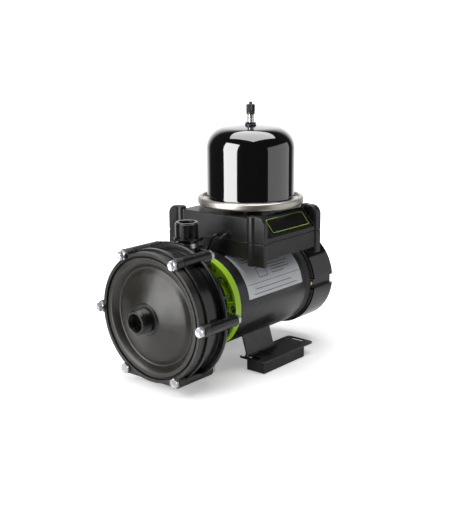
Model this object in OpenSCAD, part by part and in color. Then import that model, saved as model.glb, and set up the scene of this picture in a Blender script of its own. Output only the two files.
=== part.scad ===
// Shower pump: a centrifugal pump head with threaded ports, a green adaptor ring, a fan-cooled motor on two
// pressed feet, an electrics box on top of the motor and a small pressure vessel above the box.
// Frame: the origin is the middle of the inlet's mouth, +Y runs along the shaft to the motor, +Z is up.

/* [Clearances] */
// Overrun that takes a cut right through a face
cut = 1; // [0.5:0.1:2]
// Gap between pieces that are put together and stay still
fit_gap = 0.1; // [0.05:0.01:0.2]
// Radial gap round the shaft in its bearings
run_gap = 0.03; // [0.02:0.01:0.08]
// Gap between pieces that slide or rest on each other
slide_gap = 0.3; // [0.2:0.05:0.4]

/* [Ports] */
// Outside diameter of the threads on both ports
port_d = 26.44; // [24:0.02:30]
// Bore of the inlet
inlet_bore_d = 19; // [15:0.5:21]
// Length of the inlet thread
inlet_len = 15; // [12:0.5:20]
// Bore of the outlet tower
outlet_bore_d = 17; // [15:0.5:18]
// Length of the outlet thread
outlet_len = 17; // [14:0.5:20]
// Height of the outlet's mouth above the shaft
outlet_z = 94; // [92:0.5:104]

/* [Pump head] */
// Diameter of the front cover
cover_d = 141; // [137:0.5:146]
// Thickness of the front cover's flange
cover_t = 10; // [9:0.5:13]
// Wall of the front cover's face
cover_wall = 3.6; // [2.8:0.1:4.4]
// How far the crown of the face stands in front of the flange
crown_rise = 4.5; // [3:0.5:7]
// How far outside the cover's edge the bolts stand
bolt_reach = 2; // [1:0.5:3]
// Diameter of the tubes that the cover bolts run through
lug_d = 13; // [12:0.5:15]
// Width of the cover's flange outside the pumping chamber
flange_w = 10.5; // [9.5:0.5:12]
// How far the drum lies inside the cover's edge
drum_step = 1.5; // [1:0.5:3]
// Depth of the chamber behind the cover
drum_len = 24; // [23:0.5:30]
// How far the thin rim behind the drum stands out past the cover
rim_reach = 5.5; // [4:0.5:6]
// Thickness of that rim
rim_t = 4; // [3:0.5:6]
// Length of the bolt tubes behind the rim
lug_tail = 14; // [11:0.5:20]
// Length of the ribbed section behind the rim
rear_len = 40; // [36:0.5:48]
// Number of ribs round the rear section
rib_count = 18; // [12:2:24]

/* [Cover bolts] */
// Diameter of the bolts
bolt_d = 6; // [5:0.5:7]
// Size of the hexagon across its flats
hex_af = 10; // [9:0.5:11]
// Height of the bolt heads
bolt_head_t = 4; // [3:0.5:5]
// Thickness of the nuts
nut_t = 5; // [4:0.5:6]

/* [Impeller and seal] */
// Width of the passage round the impeller
volute_w = 14; // [11:0.5:18]
// Number of vanes
vane_count = 6; // [5:1:8]
// Thickness of vanes and shrouds
vane_t = 2; // [1.6:0.1:2.4]
// Inside diameter of the impeller's eye
eye_d = 30; // [28:0.5:32]
// Diameter of the fixed seal seat
seat_d = 30; // [28:0.5:34]
// Wire diameter of the seal spring
spring_wire_d = 1.6; // [1.2:0.1:2]

/* [Flow float] */
// Height of the float's seat above the shaft
float_seat_z = 62; // [61:0.5:64]
// Length of the float
float_len = 12; // [10:0.5:13]
// Height of the guide that stops the float, above the shaft
guide_z = 83; // [82.5:0.5:86]

/* [Adaptor ring] */
// Diameter of the green ring
ring_d = 106; // [104:0.5:110]
// Thickness of the green ring
ring_t = 9; // [8:0.5:12]
// Depth of its moulded pockets
pocket_depth = 6; // [4:0.5:7]

/* [Motor] */
// Outside diameter of the motor tube
tube_d = 105; // [103:0.5:107]
// Wall of the motor tube
tube_wall = 2.2; // [1.8:0.1:2.6]
// Length of the motor tube
tube_len = 121; // [110:1:135]
// Diameter of the shaft
shaft_d = 12; // [10:0.5:14]
// Outside diameter of the bearings
bearing_d = 32; // [30:0.5:35]
// Width of the bearings
bearing_t = 10; // [8:0.5:11]
// Length of the stator and rotor cores
core_len = 65; // [50:1:70]
// Bore of the stator
stator_bore_d = 58; // [54:1:62]
// Number of stator slots
slot_count = 24; // [18:6:30]
// Radial gap between rotor and stator
air_gap = 0.5; // [0.4:0.1:1]
// Circle on which the tie bolts lie
tie_circle_d = 95.4; // [94:0.2:96]
// Diameter of the tie bolts
tie_d = 4; // [3.5:0.1:4.5]

/* [Fan end] */
// Thickness of the rear end shield
shield_t = 11; // [10:0.5:14]
// Gap between the end shield and the cowl's edge
cowl_gap = 1.5; // [1:0.1:3]
// Outside diameter of the fan cowl
cowl_d = 112; // [111:0.5:116]
// Length of the fan cowl
cowl_len = 40; // [36:0.5:48]
// Wall of the fan cowl
cowl_wall = 1.6; // [1.2:0.1:2]
// Width of the four channels along the cowl
channel_w = 10.5; // [9.5:0.5:13]
// Depth of those channels
channel_depth = 5.5; // [4.5:0.5:6]
// Diameter of the cooling fan
fan_d = 92; // [84:1:93]
// Number of fan blades
blade_count = 8; // [6:1:10]

/* [Feet] */
// Gap between the pump head's rim and the floor
head_clearance = 2.5; // [1.5:0.5:8]
// Thickness of the pressed steel
foot_t = 2; // [1.5:0.1:3]
// Width over the outer edges of both feet
foot_span = 134; // [130:1:142]
// Length of each foot
foot_len = 95.5; // [90:0.5:104]
// Height of the rubber blocks
rubber_t = 12; // [10:0.5:12.5]
// Length of the rubber blocks
rubber_len = 76; // [72:1:78]
// Width of the rubber blocks
rubber_w = 25; // [22:0.5:27]
// Width of the fixing slots
foot_slot_w = 6; // [5:0.5:7]
// Length of the fixing slots
foot_slot_len = 19; // [16:0.5:20]
// Spacing of the slots along the shaft
foot_slot_pitch = 84; // [80:1:86]
// Spacing of the slots across the shaft
foot_slot_span = 94; // [92:1:96]

/* [Electrics box] */
// Overall width of the box
box_w = 140; // [136:1:146]
// Overall length of the box
box_len = 107; // [100:1:114]
// Distance of the box behind the adaptor ring
box_setback = 16.5; // [15:0.5:22]
// Height of the box's lower part
base_h = 18.5; // [16:0.5:22]
// Height of the lid above the joint
lid_h = 26; // [24:0.5:30]
// Wall of both halves
box_wall = 2.5; // [2:0.1:3]
// How far the corner blocks stand above the lid
ear_rise = 3; // [2:0.5:5]
// Length of the badge
badge_len = 70; // [60:1:74]
// Width of the badge
badge_w = 20; // [16:0.5:21]

/* [Pressure vessel] */
// Diameter of the dome
dome_d = 100.6; // [94:0.2:104]
// Height of the dome's top above its flange
dome_h = 82; // [76:0.5:90]
// Radius of the dome's shoulder
shoulder_r = 24; // [20:0.5:28]
// Sheet thickness of the dome and the dish
vessel_t = 1.4; // [1.2:0.1:1.8]
// Outside diameter of the clamp ring
clamp_d = 121.8; // [120:0.2:126]
// Height of the clamp ring
clamp_h = 8.6; // [8:0.1:10]
// Height of the vessel's dish above the lid
vessel_lift = 4; // [3:0.5:8]
// Diameter of the vessel's threaded neck
neck_d = 20; // [18:0.5:24]
// Diameter of the air valve's stem
stem_d = 7.7; // [7:0.1:8.4]
// Diameter of the valve cap
cap_d = 9.8; // [9.4:0.1:11]

/* [Hidden] */
$fn = 96;

// Colours
black_plastic = [0.09, 0.09, 0.1];
gloss_black = [0.04, 0.04, 0.045];
satin_black = [0.12, 0.12, 0.13];
rubber_black = [0.06, 0.06, 0.06];
lime = [0.55, 0.82, 0.1];
zinc = [0.82, 0.83, 0.85];
steel = [0.62, 0.63, 0.65];
copper = [0.72, 0.4, 0.2];
brass = [0.75, 0.6, 0.3];

// Radii that several pieces share
port_r = port_d / 2;
inlet_bore_r = inlet_bore_d / 2;
outlet_bore_r = outlet_bore_d / 2;
cover_r = cover_d / 2;
bolt_circle_r = cover_r + bolt_reach;
lug_r = lug_d / 2;
chamber_r = cover_r - flange_w;
drum_r = cover_r - drum_step;
rim_r = cover_r + rim_reach;
shaft_r = shaft_d / 2;
bearing_r = bearing_d / 2;
tube_r = tube_d / 2;
tube_bore_r = tube_r - tube_wall;
tie_circle_r = tie_circle_d / 2;
cowl_r = cowl_d / 2;
ring_r = ring_d / 2;
shaft_height = rim_r + head_clearance;

// Stations along the shaft, counted from the inlet's mouth
collar_t = 2.5;
crown_y = inlet_len + collar_t;
flange_y = crown_y + crown_rise;
body_y = flange_y + cover_t;
wall_y = body_y + drum_len;
rim_back_y = wall_y + rim_t;
nut_y = rim_back_y + lug_tail;
ring_y = rim_back_y + rear_len;
tube_y = ring_y + ring_t;
shield_y = tube_y + tube_len;
shield_back_y = shield_y + shield_t;
cowl_y = shield_back_y + cowl_gap;
cowl_back_y = cowl_y + cowl_len;

// Turns a profile of [radius, station] points about the shaft
module turned() {
    rotate([-90, 0, 0]) rotate_extrude() children();
}

// A round bar along the shaft's direction
module bar_y(r, y0, y1) {
    translate([0, y0, 0]) rotate([-90, 0, 0]) cylinder(r = r, h = y1 - y0);
}

// Extrudes an outline of [x, z] points from one station to another
module along_y(y0, y1) {
    translate([0, y1, 0]) rotate([90, 0, 0]) linear_extrude(y1 - y0) children();
}

// Sets copies at equal angles round the shaft
module around_shaft(count, r, start = 0) {
    for (i = [0 : count - 1]) rotate([0, -start - 360 * i / count, 0]) translate([r, 0, 0]) children();
}

// A hexagon bar along the shaft's direction
module hex_y(af, y0, y1) {
    translate([0, y0, 0]) rotate([-90, 0, 0]) cylinder(d = af / cos(30), h = y1 - y0, $fn = 6);
}

// Points on an arc, from one angle to another
function arc(cx, cy, r, a0, a1, steps) =
    [for (i = [0 : steps]) let (a = a0 + (a1 - a0) * i / steps) [cx + r * cos(a), cy + r * sin(a)]];

// A rectangle with rounded corners, centred
module rounded_rect(w, h, r) {
    square([w - 2 * r, h], center = true);
    square([w, h - 2 * r], center = true);
    for (x = [-1, 1], y = [-1, 1]) translate([x * (w / 2 - r), y * (h / 2 - r)]) circle(r = r);
}

// Front cover: flange, stepped rim, conical face and threaded inlet
collar_reach = 3.3;
collar_r = port_r + collar_reach;
crown_r = collar_r + collar_t;
lip_len = 6;
lip_wall = 4.2;
port_chamfer = 0.9;
o_ring_d = 2.6;
// Rim of the face as shares of the cover's radius and of its flange's thickness
face_rim_shares = [[0.652, 0.44], [0.69, 0.59], [0.722, 0.74], [0.746, 0.84], [0.766, 0.8], [0.809, 0.4],
    [0.84, 0.2], [0.865, 0.1], [0.916, 0.1], [0.925, 0.36], [0.942, 0.36], [0.948, 0], [1, 0]];
face_rim = [for (p = face_rim_shares) [p[0] * cover_r, flange_y + p[1] * cover_t]];
cone_r = face_rim[0][0];
cone_slope = (face_rim[0][1] - crown_y) / (cone_r - crown_r);
function face_y(r) = crown_y + (r - crown_r) * cone_slope;
eye_r = eye_d / 2;
neck_r = eye_r + vane_t;
eye_gap = 0.5;
eye_collar_wall = 3;
shroud_gap = 3.5;
eye_collar_len = shroud_gap - eye_gap;
eye_seat_r = neck_r + eye_gap;
eye_seat_y = face_y(eye_seat_r) + cover_wall;
lip_r = chamber_r - slide_gap;
lip_bore_r = lip_r - lip_wall;
lip_back_y = body_y + lip_len;
o_ring_groove_y = body_y + (lip_len - o_ring_d) / 2 - fit_gap;
o_ring_groove_r = chamber_r - o_ring_d - 2 * fit_gap;

web_drop_share = 0.94;
overlap = 0.5;

module lug_ring(y0, y1) {
    around_shaft(6, bolt_circle_r) bar_y(lug_r, y0, y1);
}

module bolt_holes(y0, y1) {
    around_shaft(6, bolt_circle_r) bar_y(bolt_d / 2 + slide_gap, y0 - cut, y1 + cut);
}

// Flat ring with the six bolt tubes' ends and the straight web between the two lowest
module lug_plate(r, inside_r) {
    web_drop = bolt_circle_r * sin(60) + web_drop_share * lug_r;
    difference() {
        union() {
            circle(r = r);
            translate([-bolt_circle_r * cos(60), -web_drop]) square([bolt_circle_r, web_drop / 2]);
            for (i = [0 : 5]) rotate(60 * i) translate([bolt_circle_r, 0]) circle(r = lug_r);
        }
        circle(r = inside_r);
    }
}

module front_cover() {
    plate_r = (face_rim[len(face_rim) - 2][0] + cover_r) / 2;
    color(black_plastic) {
        turned() polygon(concat(
            [[inlet_bore_r + port_chamfer, 0], [port_r, 0], [port_r, inlet_len], [collar_r, inlet_len]],
            arc(crown_r, inlet_len, collar_t, 180, 90, 4),
            [for (i = [0 : len(face_rim) - 2]) face_rim[i]],
            [[plate_r, flange_y], [plate_r, body_y], [lip_r, body_y], [lip_r, o_ring_groove_y],
             [o_ring_groove_r, o_ring_groove_y], [o_ring_groove_r, o_ring_groove_y + o_ring_d + 2 * fit_gap],
             [lip_r, o_ring_groove_y + o_ring_d + 2 * fit_gap], [lip_r, lip_back_y], [lip_bore_r, lip_back_y],
             [lip_bore_r, face_rim[3][1] + cover_wall], [face_rim[2][0], face_rim[2][1] + cover_wall],
             [cone_r, face_rim[0][1] + cover_wall],
             [eye_seat_r + eye_collar_wall, face_y(eye_seat_r + eye_collar_wall) + cover_wall],
             [eye_seat_r + eye_collar_wall, eye_seat_y + eye_collar_len],
             [eye_seat_r, eye_seat_y + eye_collar_len], [eye_seat_r, eye_seat_y],
             [inlet_bore_r, crown_y - collar_t], [inlet_bore_r, port_chamfer]]));
        along_y(flange_y, body_y) difference() {
            lug_plate(cover_r, plate_r - overlap);
            for (i = [0 : 5]) rotate(60 * i) translate([bolt_circle_r, 0]) circle(r = bolt_d / 2 + slide_gap);
        }
    }
}

module cover_o_ring() {
    color(rubber_black) turned()
        translate([o_ring_groove_r + fit_gap + o_ring_d / 2, o_ring_groove_y + fit_gap + o_ring_d / 2])
        circle(d = o_ring_d, $fn = 24);
}

// Pump body: drum, rims, ribbed rear section, duct and outlet tower in one moulding
body_flange_reach = 2.3;
body_flange_r = cover_r + body_flange_reach;
body_flange_t = 4;
rim_chamfer = 0.8;
back_step = 2;
rear_core_r = 33;
rear_flange_r = 41;
rear_flange_t = 6;
rib_t = 3;
// Ribs of the rear section as shares of the rim's radius and of the section's length
rib_shares = [[0.83, 0], [0.81, 0.6], [0.62, 0.8], [0.53, 0.9]];
outlet_setback = 22;
outlet_y = rim_back_y + outlet_setback;
tower_wall = 2;
tower_neck_r = outlet_bore_r + tower_wall;
tower_collar_reach = 1.3;
tower_collar_r = port_r + tower_collar_reach;
tower_collar_t = 2;
duct_r = 6.5;
duct_inset = 3.5;
duct_z = chamber_r - duct_r - duct_inset;
duct_block_half = 13;
rib_sink = 1;
duct_block_top = float_seat_z;
seat_r = seat_d / 2;
seat_t = 5;
shaft_hole_gap = 3;
shaft_hole_r = shaft_r + shaft_hole_gap;
adaptor_screw_circle_r = 36;
adaptor_screw_d = 5;
adaptor_screw_head_r = 0.85 * adaptor_screw_d;

module pump_body() {
    plate_r = drum_r - rim_chamfer;
    rear_y = rim_back_y + back_step;
    color(black_plastic) difference() {
        union() {
            turned() polygon([
                [chamber_r, body_y], [plate_r, body_y], [plate_r, body_y + body_flange_t],
                [drum_r, body_y + body_flange_t + rim_chamfer], [drum_r, wall_y - rim_chamfer],
                [rim_r - rim_chamfer, wall_y], [rim_r, wall_y + rim_chamfer], [rim_r, rim_back_y - rim_chamfer],
                [rim_r - rim_chamfer, rim_back_y], [rib_shares[0][0] * rim_r, rim_back_y],
                [rib_shares[1][0] * rim_r, rear_y], [rear_core_r, rear_y],
                [rear_core_r, ring_y - rear_flange_t], [rear_flange_r, ring_y - rear_flange_t],
                [rear_flange_r, ring_y], [shaft_hole_r, ring_y], [shaft_hole_r, wall_y + seat_t],
                [seat_r + fit_gap, wall_y + seat_t], [seat_r + fit_gap, wall_y], [chamber_r, wall_y]]);
            lug_ring(body_y + body_flange_t - overlap, nut_y);
            along_y(body_y, body_y + body_flange_t) lug_plate(body_flange_r, plate_r - overlap);
            around_shaft(rib_count, 0) translate([0, 0, -rib_t / 2]) linear_extrude(rib_t) polygon(concat(
                [[rear_core_r - rib_sink, ring_y - rear_flange_t / 2], [rear_core_r - rib_sink, rear_y - rib_sink]],
                [for (p = rib_shares) [p[0] * rim_r, rim_back_y - rib_sink / 2 + p[1] * rear_len]]));
            translate([-duct_block_half, rim_back_y, rear_core_r - rib_sink])
                cube([2 * duct_block_half, rear_len - rear_flange_t, duct_block_top - rear_core_r + rib_sink]);
            translate([0, outlet_y, 0]) {
                translate([0, 0, duct_block_top - rib_sink])
                    cylinder(r = tower_neck_r, h = outlet_z - outlet_len - duct_block_top + rib_sink);
                translate([0, 0, outlet_z - outlet_len - tower_collar_t])
                    cylinder(r = tower_collar_r, h = tower_collar_t);
                translate([0, 0, outlet_z - outlet_len]) cylinder(r = port_r, h = outlet_len);
            }
        }
        bolt_holes(body_y, nut_y);
        translate([0, outlet_y, 0]) {
            translate([0, 0, float_seat_z]) cylinder(r = outlet_bore_r, h = outlet_z - float_seat_z + cut);
            translate([0, 0, duct_z]) cylinder(r = duct_r, h = outlet_z - duct_z);
            translate([0, 0, outlet_z - port_chamfer])
                cylinder(r1 = outlet_bore_r, r2 = outlet_bore_r + 2 * port_chamfer, h = 2 * port_chamfer);
        }
        translate([0, 0, duct_z]) bar_y(duct_r, wall_y - cut, outlet_y);
        around_shaft(4, adaptor_screw_circle_r, 45) {
            bar_y(adaptor_screw_d / 2 + slide_gap, ring_y - rear_flange_t - cut, ring_y + cut);
            bar_y(adaptor_screw_head_r + slide_gap, rear_y + seat_t, ring_y - rear_flange_t);
        }
    }
}

// Six cover bolts and their nuts
bolt_tail = 3;

module cover_bolts() {
    color(zinc) around_shaft(6, bolt_circle_r) {
        hex_y(hex_af, flange_y - bolt_head_t, flange_y);
        bar_y(bolt_d / 2, flange_y - bolt_head_t / 2, nut_y + nut_t + bolt_tail);
    }
}

module cover_nuts() {
    color(zinc) around_shaft(6, bolt_circle_r) difference() {
        hex_y(hex_af, nut_y, nut_y + nut_t);
        bar_y(bolt_d / 2 + fit_gap, nut_y - cut, nut_y + nut_t + cut);
    }
}

// Closed impeller with curved vanes between its shrouds
impeller_r = chamber_r - volute_w;
hub_r = 11;
hub_len = 10;
impeller_back_y = wall_y - hub_len;
hub_step = 1;
hub_back_y = impeller_back_y + hub_step;
hub_front_y = hub_back_y - hub_len;
// Arc of a vane: its radius and the offset of its centre as shares of the impeller's radius
vane_arc_share = 0.74;
vane_offset_share = 0.46;

function shroud_y(r) = face_y(r) + cover_wall + shroud_gap;

module impeller() {
    neck_y = eye_seat_y + eye_gap;
    color([0.85, 0.84, 0.8]) difference() {
        union() {
            turned() polygon([
                [eye_r, neck_y], [neck_r, neck_y], [neck_r, shroud_y(neck_r)],
                [impeller_r, shroud_y(impeller_r)], [impeller_r, shroud_y(impeller_r) + vane_t],
                [neck_r, shroud_y(neck_r) + vane_t], [eye_r, shroud_y(neck_r) + vane_t]]);
            turned() polygon([
                [0, hub_front_y], [hub_r, hub_front_y], [hub_r, impeller_back_y - vane_t],
                [impeller_r, impeller_back_y - vane_t], [impeller_r, impeller_back_y],
                [hub_r, impeller_back_y], [hub_r, hub_back_y], [0, hub_back_y]]);
            intersection() {
                around_shaft(vane_count, 0) along_y(neck_y, impeller_back_y) intersection() {
                    translate([vane_offset_share * impeller_r, 0]) difference() {
                        circle(r = vane_arc_share * impeller_r + vane_t / 2);
                        circle(r = vane_arc_share * impeller_r - vane_t / 2);
                    }
                    translate([-impeller_r, 0]) square([2 * impeller_r, impeller_r]);
                }
                turned() polygon([
                    [eye_r - vane_t, shroud_y(neck_r) + vane_t / 2], [neck_r, shroud_y(neck_r) + vane_t / 2],
                    [impeller_r, shroud_y(impeller_r) + vane_t / 2], [impeller_r, impeller_back_y - vane_t / 2],
                    [hub_r, impeller_back_y - vane_t / 2], [hub_r, hub_front_y + vane_t]]);
            }
        }
        bar_y(shaft_r, hub_front_y - cut, hub_back_y + cut);
    }
}

impeller_nut_t = 5;
impeller_nut_af = 13;
shaft_thread_d = 8;

module impeller_nut() {
    front_y = hub_front_y - impeller_nut_t;
    color(brass) difference() {
        union() {
            hex_y(impeller_nut_af, front_y, hub_front_y);
            turned() polygon(concat([[0, front_y]], arc(0, front_y, impeller_nut_af * 0.42, -90, 0, 6)));
        }
        bar_y(shaft_thread_d / 2, front_y, hub_front_y + cut);
    }
}

// Mechanical seal: turning face, spring and fixed seat
face_gap = 0.05;
seal_rotor_r = 13;
seal_rotor_t = 3.6;
seal_lip_t = 1;
seal_back_y = wall_y - face_gap;
seal_front_y = seal_back_y - seal_rotor_t;

module seal_rotor() {
    color([0.15, 0.15, 0.16]) turned() polygon([
        [shaft_r, seal_front_y], [seal_rotor_r, seal_front_y], [seal_rotor_r, seal_back_y - seal_rotor_t / 3],
        [seal_rotor_r - vane_t, seal_back_y - seal_rotor_t / 3], [seal_rotor_r - vane_t, seal_back_y],
        [shaft_r + vane_t, seal_back_y], [shaft_r + vane_t, seal_front_y + seal_lip_t], [shaft_r, seal_front_y + seal_lip_t]]);
}

// A tube swept along points: rings square to the path, kept from twisting by a level direction, with flat ends
function unit(v) = v / norm(v);
function path_dir(path, i) = unit(path[min(i + 1, len(path) - 1)] - path[max(i - 1, 0)]);
module swept(path, dirs, r, sides, level) {
    last = len(path) - 1;
    points = [for (i = [0 : last]) let (u = unit(cross(dirs[i], level)), v = cross(u, dirs[i]))
        for (k = [0 : sides - 1]) path[i] + r * (u * cos(360 * k / sides) + v * sin(360 * k / sides))];
    walls = [for (i = [0 : last - 1], k = [0 : sides - 1]) let (
        a = i * sides + k, b = i * sides + (k + 1) % sides)
        each [[a, a + sides, b], [b, a + sides, b + sides]]];
    ends = [for (k = [1 : sides - 2]) each [[0, k, k + 1],
        [last * sides, last * sides + k + 1, last * sides + k]]];
    polyhedron(points = points, faces = concat(walls, ends));
}

// The spring's coil, with its least gap printed
spring_turns = 2.5;
spring_steps = 24;
spring_front_y = hub_back_y + fit_gap;
spring_pitch = (seal_front_y - spring_front_y - 2 * fit_gap - spring_wire_d) / spring_turns;
spring_r = hub_r - spring_wire_d / 2;
spring_path = [for (i = [0 : spring_steps * spring_turns]) let (a = 360 * i / spring_steps)
    [spring_r * cos(a), spring_front_y + spring_wire_d / 2 + spring_pitch * a / 360, spring_r * sin(a)]];
spring_dirs = [for (i = [0 : len(spring_path) - 1]) let (a = 360 * i / spring_steps)
    unit([-spring_r * sin(a), spring_pitch / (2 * PI), spring_r * cos(a)])];

module seal_spring() {
    color(steel) swept(spring_path, spring_dirs, spring_wire_d / 2, 6, [0, 1, 0]);
}

module seal_seat() {
    color([0.9, 0.88, 0.84]) turned() polygon([
        [shaft_r + vane_t, wall_y], [seat_r, wall_y], [seat_r, wall_y + seat_t],
        [shaft_r + vane_t, wall_y + seat_t]]);
}

// Four screws that hold the pump body to the adaptor ring
module adaptor_screws() {
    head_y = ring_y - rear_flange_t;
    color(zinc) around_shaft(4, adaptor_screw_circle_r, 45) {
        bar_y(adaptor_screw_head_r, head_y - adaptor_screw_d * 0.7, head_y);
        bar_y(adaptor_screw_d / 2, head_y - adaptor_screw_d / 4, ring_y + ring_t - pocket_depth / 2);
    }
}

// Flow float and the guide that stops it
float_r = outlet_bore_r - slide_gap;
float_side_gap = 1.5;
float_core_r = outlet_bore_r - float_side_gap;
float_z = float_seat_z + slide_gap;
float_rib_w = 1.6;

module flow_float() {
    chamfer = float_len / 6;
    color([0.9, 0.45, 0.1]) translate([0, outlet_y, float_z]) {
        rotate_extrude() polygon([
            [0, 0], [float_core_r - chamfer, 0], [float_core_r, chamfer], [float_core_r, float_len - chamfer],
            [float_core_r - chamfer, float_len], [0, float_len]]);
        linear_extrude(float_len - chamfer) intersection() {
            circle(r = float_r);
            for (a = [0, 90]) rotate(a) square([2 * float_r, float_rib_w], center = true);
        }
    }
}

module float_guide() {
    guide_t = float_len / 4;
    color([0.85, 0.84, 0.8]) translate([0, outlet_y, guide_z]) linear_extrude(guide_t) {
        difference() {
            circle(r = outlet_bore_r - fit_gap);
            circle(r = outlet_bore_r - float_rib_w);
        }
        for (a = [45, 135]) rotate(a) square([2 * outlet_bore_r - float_rib_w, float_rib_w], center = true);
    }
}

// Reed sensor on the tower's neck, with its clip and its two leads
holder_w = 14;
holder_depth = 10;
holder_rise = 1;
holder_round = 2;
holder_z = float_seat_z + holder_rise;
holder_y = outlet_y + tower_neck_r + holder_depth / 2 - holder_round;
holder_h = 12;
clip_t = 0.9;
clip_h = 5;
clip_z = holder_z + (holder_h - clip_h) / 2;

module sensor_holder() {
    color(black_plastic) difference() {
        translate([0, holder_y, holder_z]) linear_extrude(holder_h)
            rounded_rect(holder_w, holder_depth + holder_round, holder_round);
        translate([0, outlet_y, holder_z - cut])
            cylinder(r = tower_neck_r + fit_gap, h = holder_h + 2 * cut);
        translate([0, 0, clip_z - fit_gap]) linear_extrude(clip_h + 2 * fit_gap) difference() {
            translate([-holder_w, outlet_y]) square([2 * holder_w, 3 * holder_depth]);
            translate([0, holder_y])
                rounded_rect(holder_w - 2 * clip_t, holder_depth + holder_round - 2 * clip_t, holder_round / 2);
        }
    }
}

module clip_outline(grow) {
    circle(r = tower_neck_r + fit_gap + grow);
    translate([0, holder_y - outlet_y])
        rounded_rect(holder_w - 2 * clip_t + 2 * fit_gap + 2 * grow, holder_depth + holder_round - 2 * clip_t
            + 2 * fit_gap + 2 * grow, holder_round / 2 + grow);
}

module sensor_clip() {
    screw_r = clip_t * 2;
    color(zinc) translate([0, outlet_y, clip_z]) {
        linear_extrude(clip_h) difference() {
            clip_outline(clip_t);
            clip_outline(0);
            translate([-tower_neck_r * 2, -clip_t]) square([tower_neck_r * 1.5, clip_t * 2]);
        }
        for (side = [-1, 1]) translate([-tower_neck_r - clip_t * 3, side * clip_t * 1.5 - clip_t / 2, 0])
            cube([clip_t * 3, clip_t, clip_h]);
        translate([-tower_neck_r - clip_t * 2.4, -clip_t * 4, clip_h / 2]) rotate([-90, 0, 0])
            cylinder(r = screw_r / 2, h = clip_t * 6);
        translate([-tower_neck_r - clip_t * 2.4, -clip_t * 4, clip_h / 2]) rotate([-90, 0, 0])
            cylinder(r = screw_r, h = clip_t * 2);
    }
}

// Green adaptor ring: bearing housing, pockets, screw holes and the spigot in the tube
spigot_len = 3;
spigot_wall = 3.5;
hub_wall = 4;
shaft_clear = 1;
front_bearing_y = tube_y - spigot_len;
pocket_inner_r = 41.5;
pocket_rim = 3.4;
pocket_outer_r = ring_r - pocket_rim;
screw_recess_r = tie_d * 1.15;
tie_head_t = 2.6;
// Pockets in one quarter of the ring, as pairs of angles
pocket_angles = [[10, 41], [58, 79]];

module sector(r0, r1, a0, a1) {
    intersection() {
        difference() {
            circle(r = r1);
            circle(r = r0);
        }
        polygon([[0, 0], 2 * r1 * [cos(a0), sin(a0)], 2 * r1 * [cos((a0 + a1) / 2), sin((a0 + a1) / 2)],
            2 * r1 * [cos(a1), sin(a1)]]);
    }
}

module adaptor_ring() {
    spigot_r = tube_bore_r - fit_gap;
    hub_back_y = front_bearing_y + bearing_t;
    color(lime) difference() {
        turned() polygon([
            [shaft_r + shaft_clear, ring_y], [ring_r, ring_y], [ring_r, tube_y], [spigot_r, tube_y],
            [spigot_r, tube_y + spigot_len], [spigot_r - spigot_wall, tube_y + spigot_len],
            [spigot_r - spigot_wall, tube_y], [bearing_r + hub_wall, tube_y], [bearing_r + hub_wall, hub_back_y],
            [bearing_r, hub_back_y], [bearing_r, front_bearing_y], [shaft_r + shaft_clear, front_bearing_y]]);
        for (mx = [0, 1], mz = [0, 1]) mirror([mx, 0, 0]) mirror([0, 0, mz])
            for (a = pocket_angles) along_y(ring_y - cut, ring_y + pocket_depth)
                sector(pocket_inner_r, pocket_outer_r, a[0], a[1]);
        around_shaft(4, tie_circle_r) {
            bar_y(tie_d / 2 + fit_gap, ring_y - cut, tube_y + spigot_len + cut);
            bar_y(screw_recess_r, ring_y - cut, ring_y + pocket_depth - tie_head_t / 2);
        }
        around_shaft(4, adaptor_screw_circle_r, 45)
            bar_y(adaptor_screw_d / 2, ring_y - cut, ring_y + ring_t - pocket_depth / 2 + cut);
    }
}

// Long screws that draw both end shields onto the tube
tie_head_y = ring_y + pocket_depth - tie_head_t / 2;
tie_nut_t = 3.2;
tie_nut_af = 7;
tie_tail = 1.2;

module tie_bolts() {
    color(zinc) around_shaft(4, tie_circle_r) {
        difference() {
            bar_y(tie_d * 0.95, tie_head_y - tie_head_t, tie_head_y);
            for (a = [0, 90]) rotate([0, a, 0]) translate([-tie_d / 2, tie_head_y - tie_head_t - cut, -tie_d / 8])
                cube([tie_d, tie_head_t / 2 + cut, tie_d / 4]);
        }
        bar_y(tie_d / 2, tie_head_y - tie_head_t / 4, shield_back_y + tie_nut_t + tie_tail);
    }
}

module tie_nuts() {
    color(brass) around_shaft(4, tie_circle_r) difference() {
        hex_y(tie_nut_af, shield_back_y, shield_back_y + tie_nut_t);
        bar_y(tie_d / 2 + fit_gap, shield_back_y - cut, shield_back_y + tie_nut_t + cut);
    }
}

// Motor tube and the label that wraps it
label_t = 0.3;
label_a0 = 7;
label_a1 = 72;
label_setback = 15;
label_margin = 8;
label_y = tube_y + label_setback;
label_len = tube_len - label_setback - label_margin;

module motor_tube() {
    color(satin_black) difference() {
        bar_y(tube_r, tube_y, shield_y);
        bar_y(tube_bore_r, tube_y - cut, shield_y + cut);
    }
}

module rating_label() {
    color([0.75, 0.77, 0.8]) along_y(label_y, label_y + label_len)
        sector(tube_r, tube_r + label_t, label_a0, label_a1);
}

// Stator with its slots and tie bolt grooves, windings and rotor
stator_y = tube_y + (tube_len - core_len) / 2;
stator_bore_r = stator_bore_d / 2;
slot_depth = 12;
slot_w_share = 0.5;
tooth_t = 2;
end_turn_len = 15;

module slot_ring(grow) {
    slot_w = slot_w_share * 2 * PI * stator_bore_r / slot_count;
    for (i = [0 : slot_count - 1]) rotate(360 * (i + 0.5) / slot_count)
        translate([stator_bore_r + tooth_t - grow, -slot_w / 2 - grow])
        square([slot_depth + 2 * grow, slot_w + 2 * grow]);
}

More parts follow.
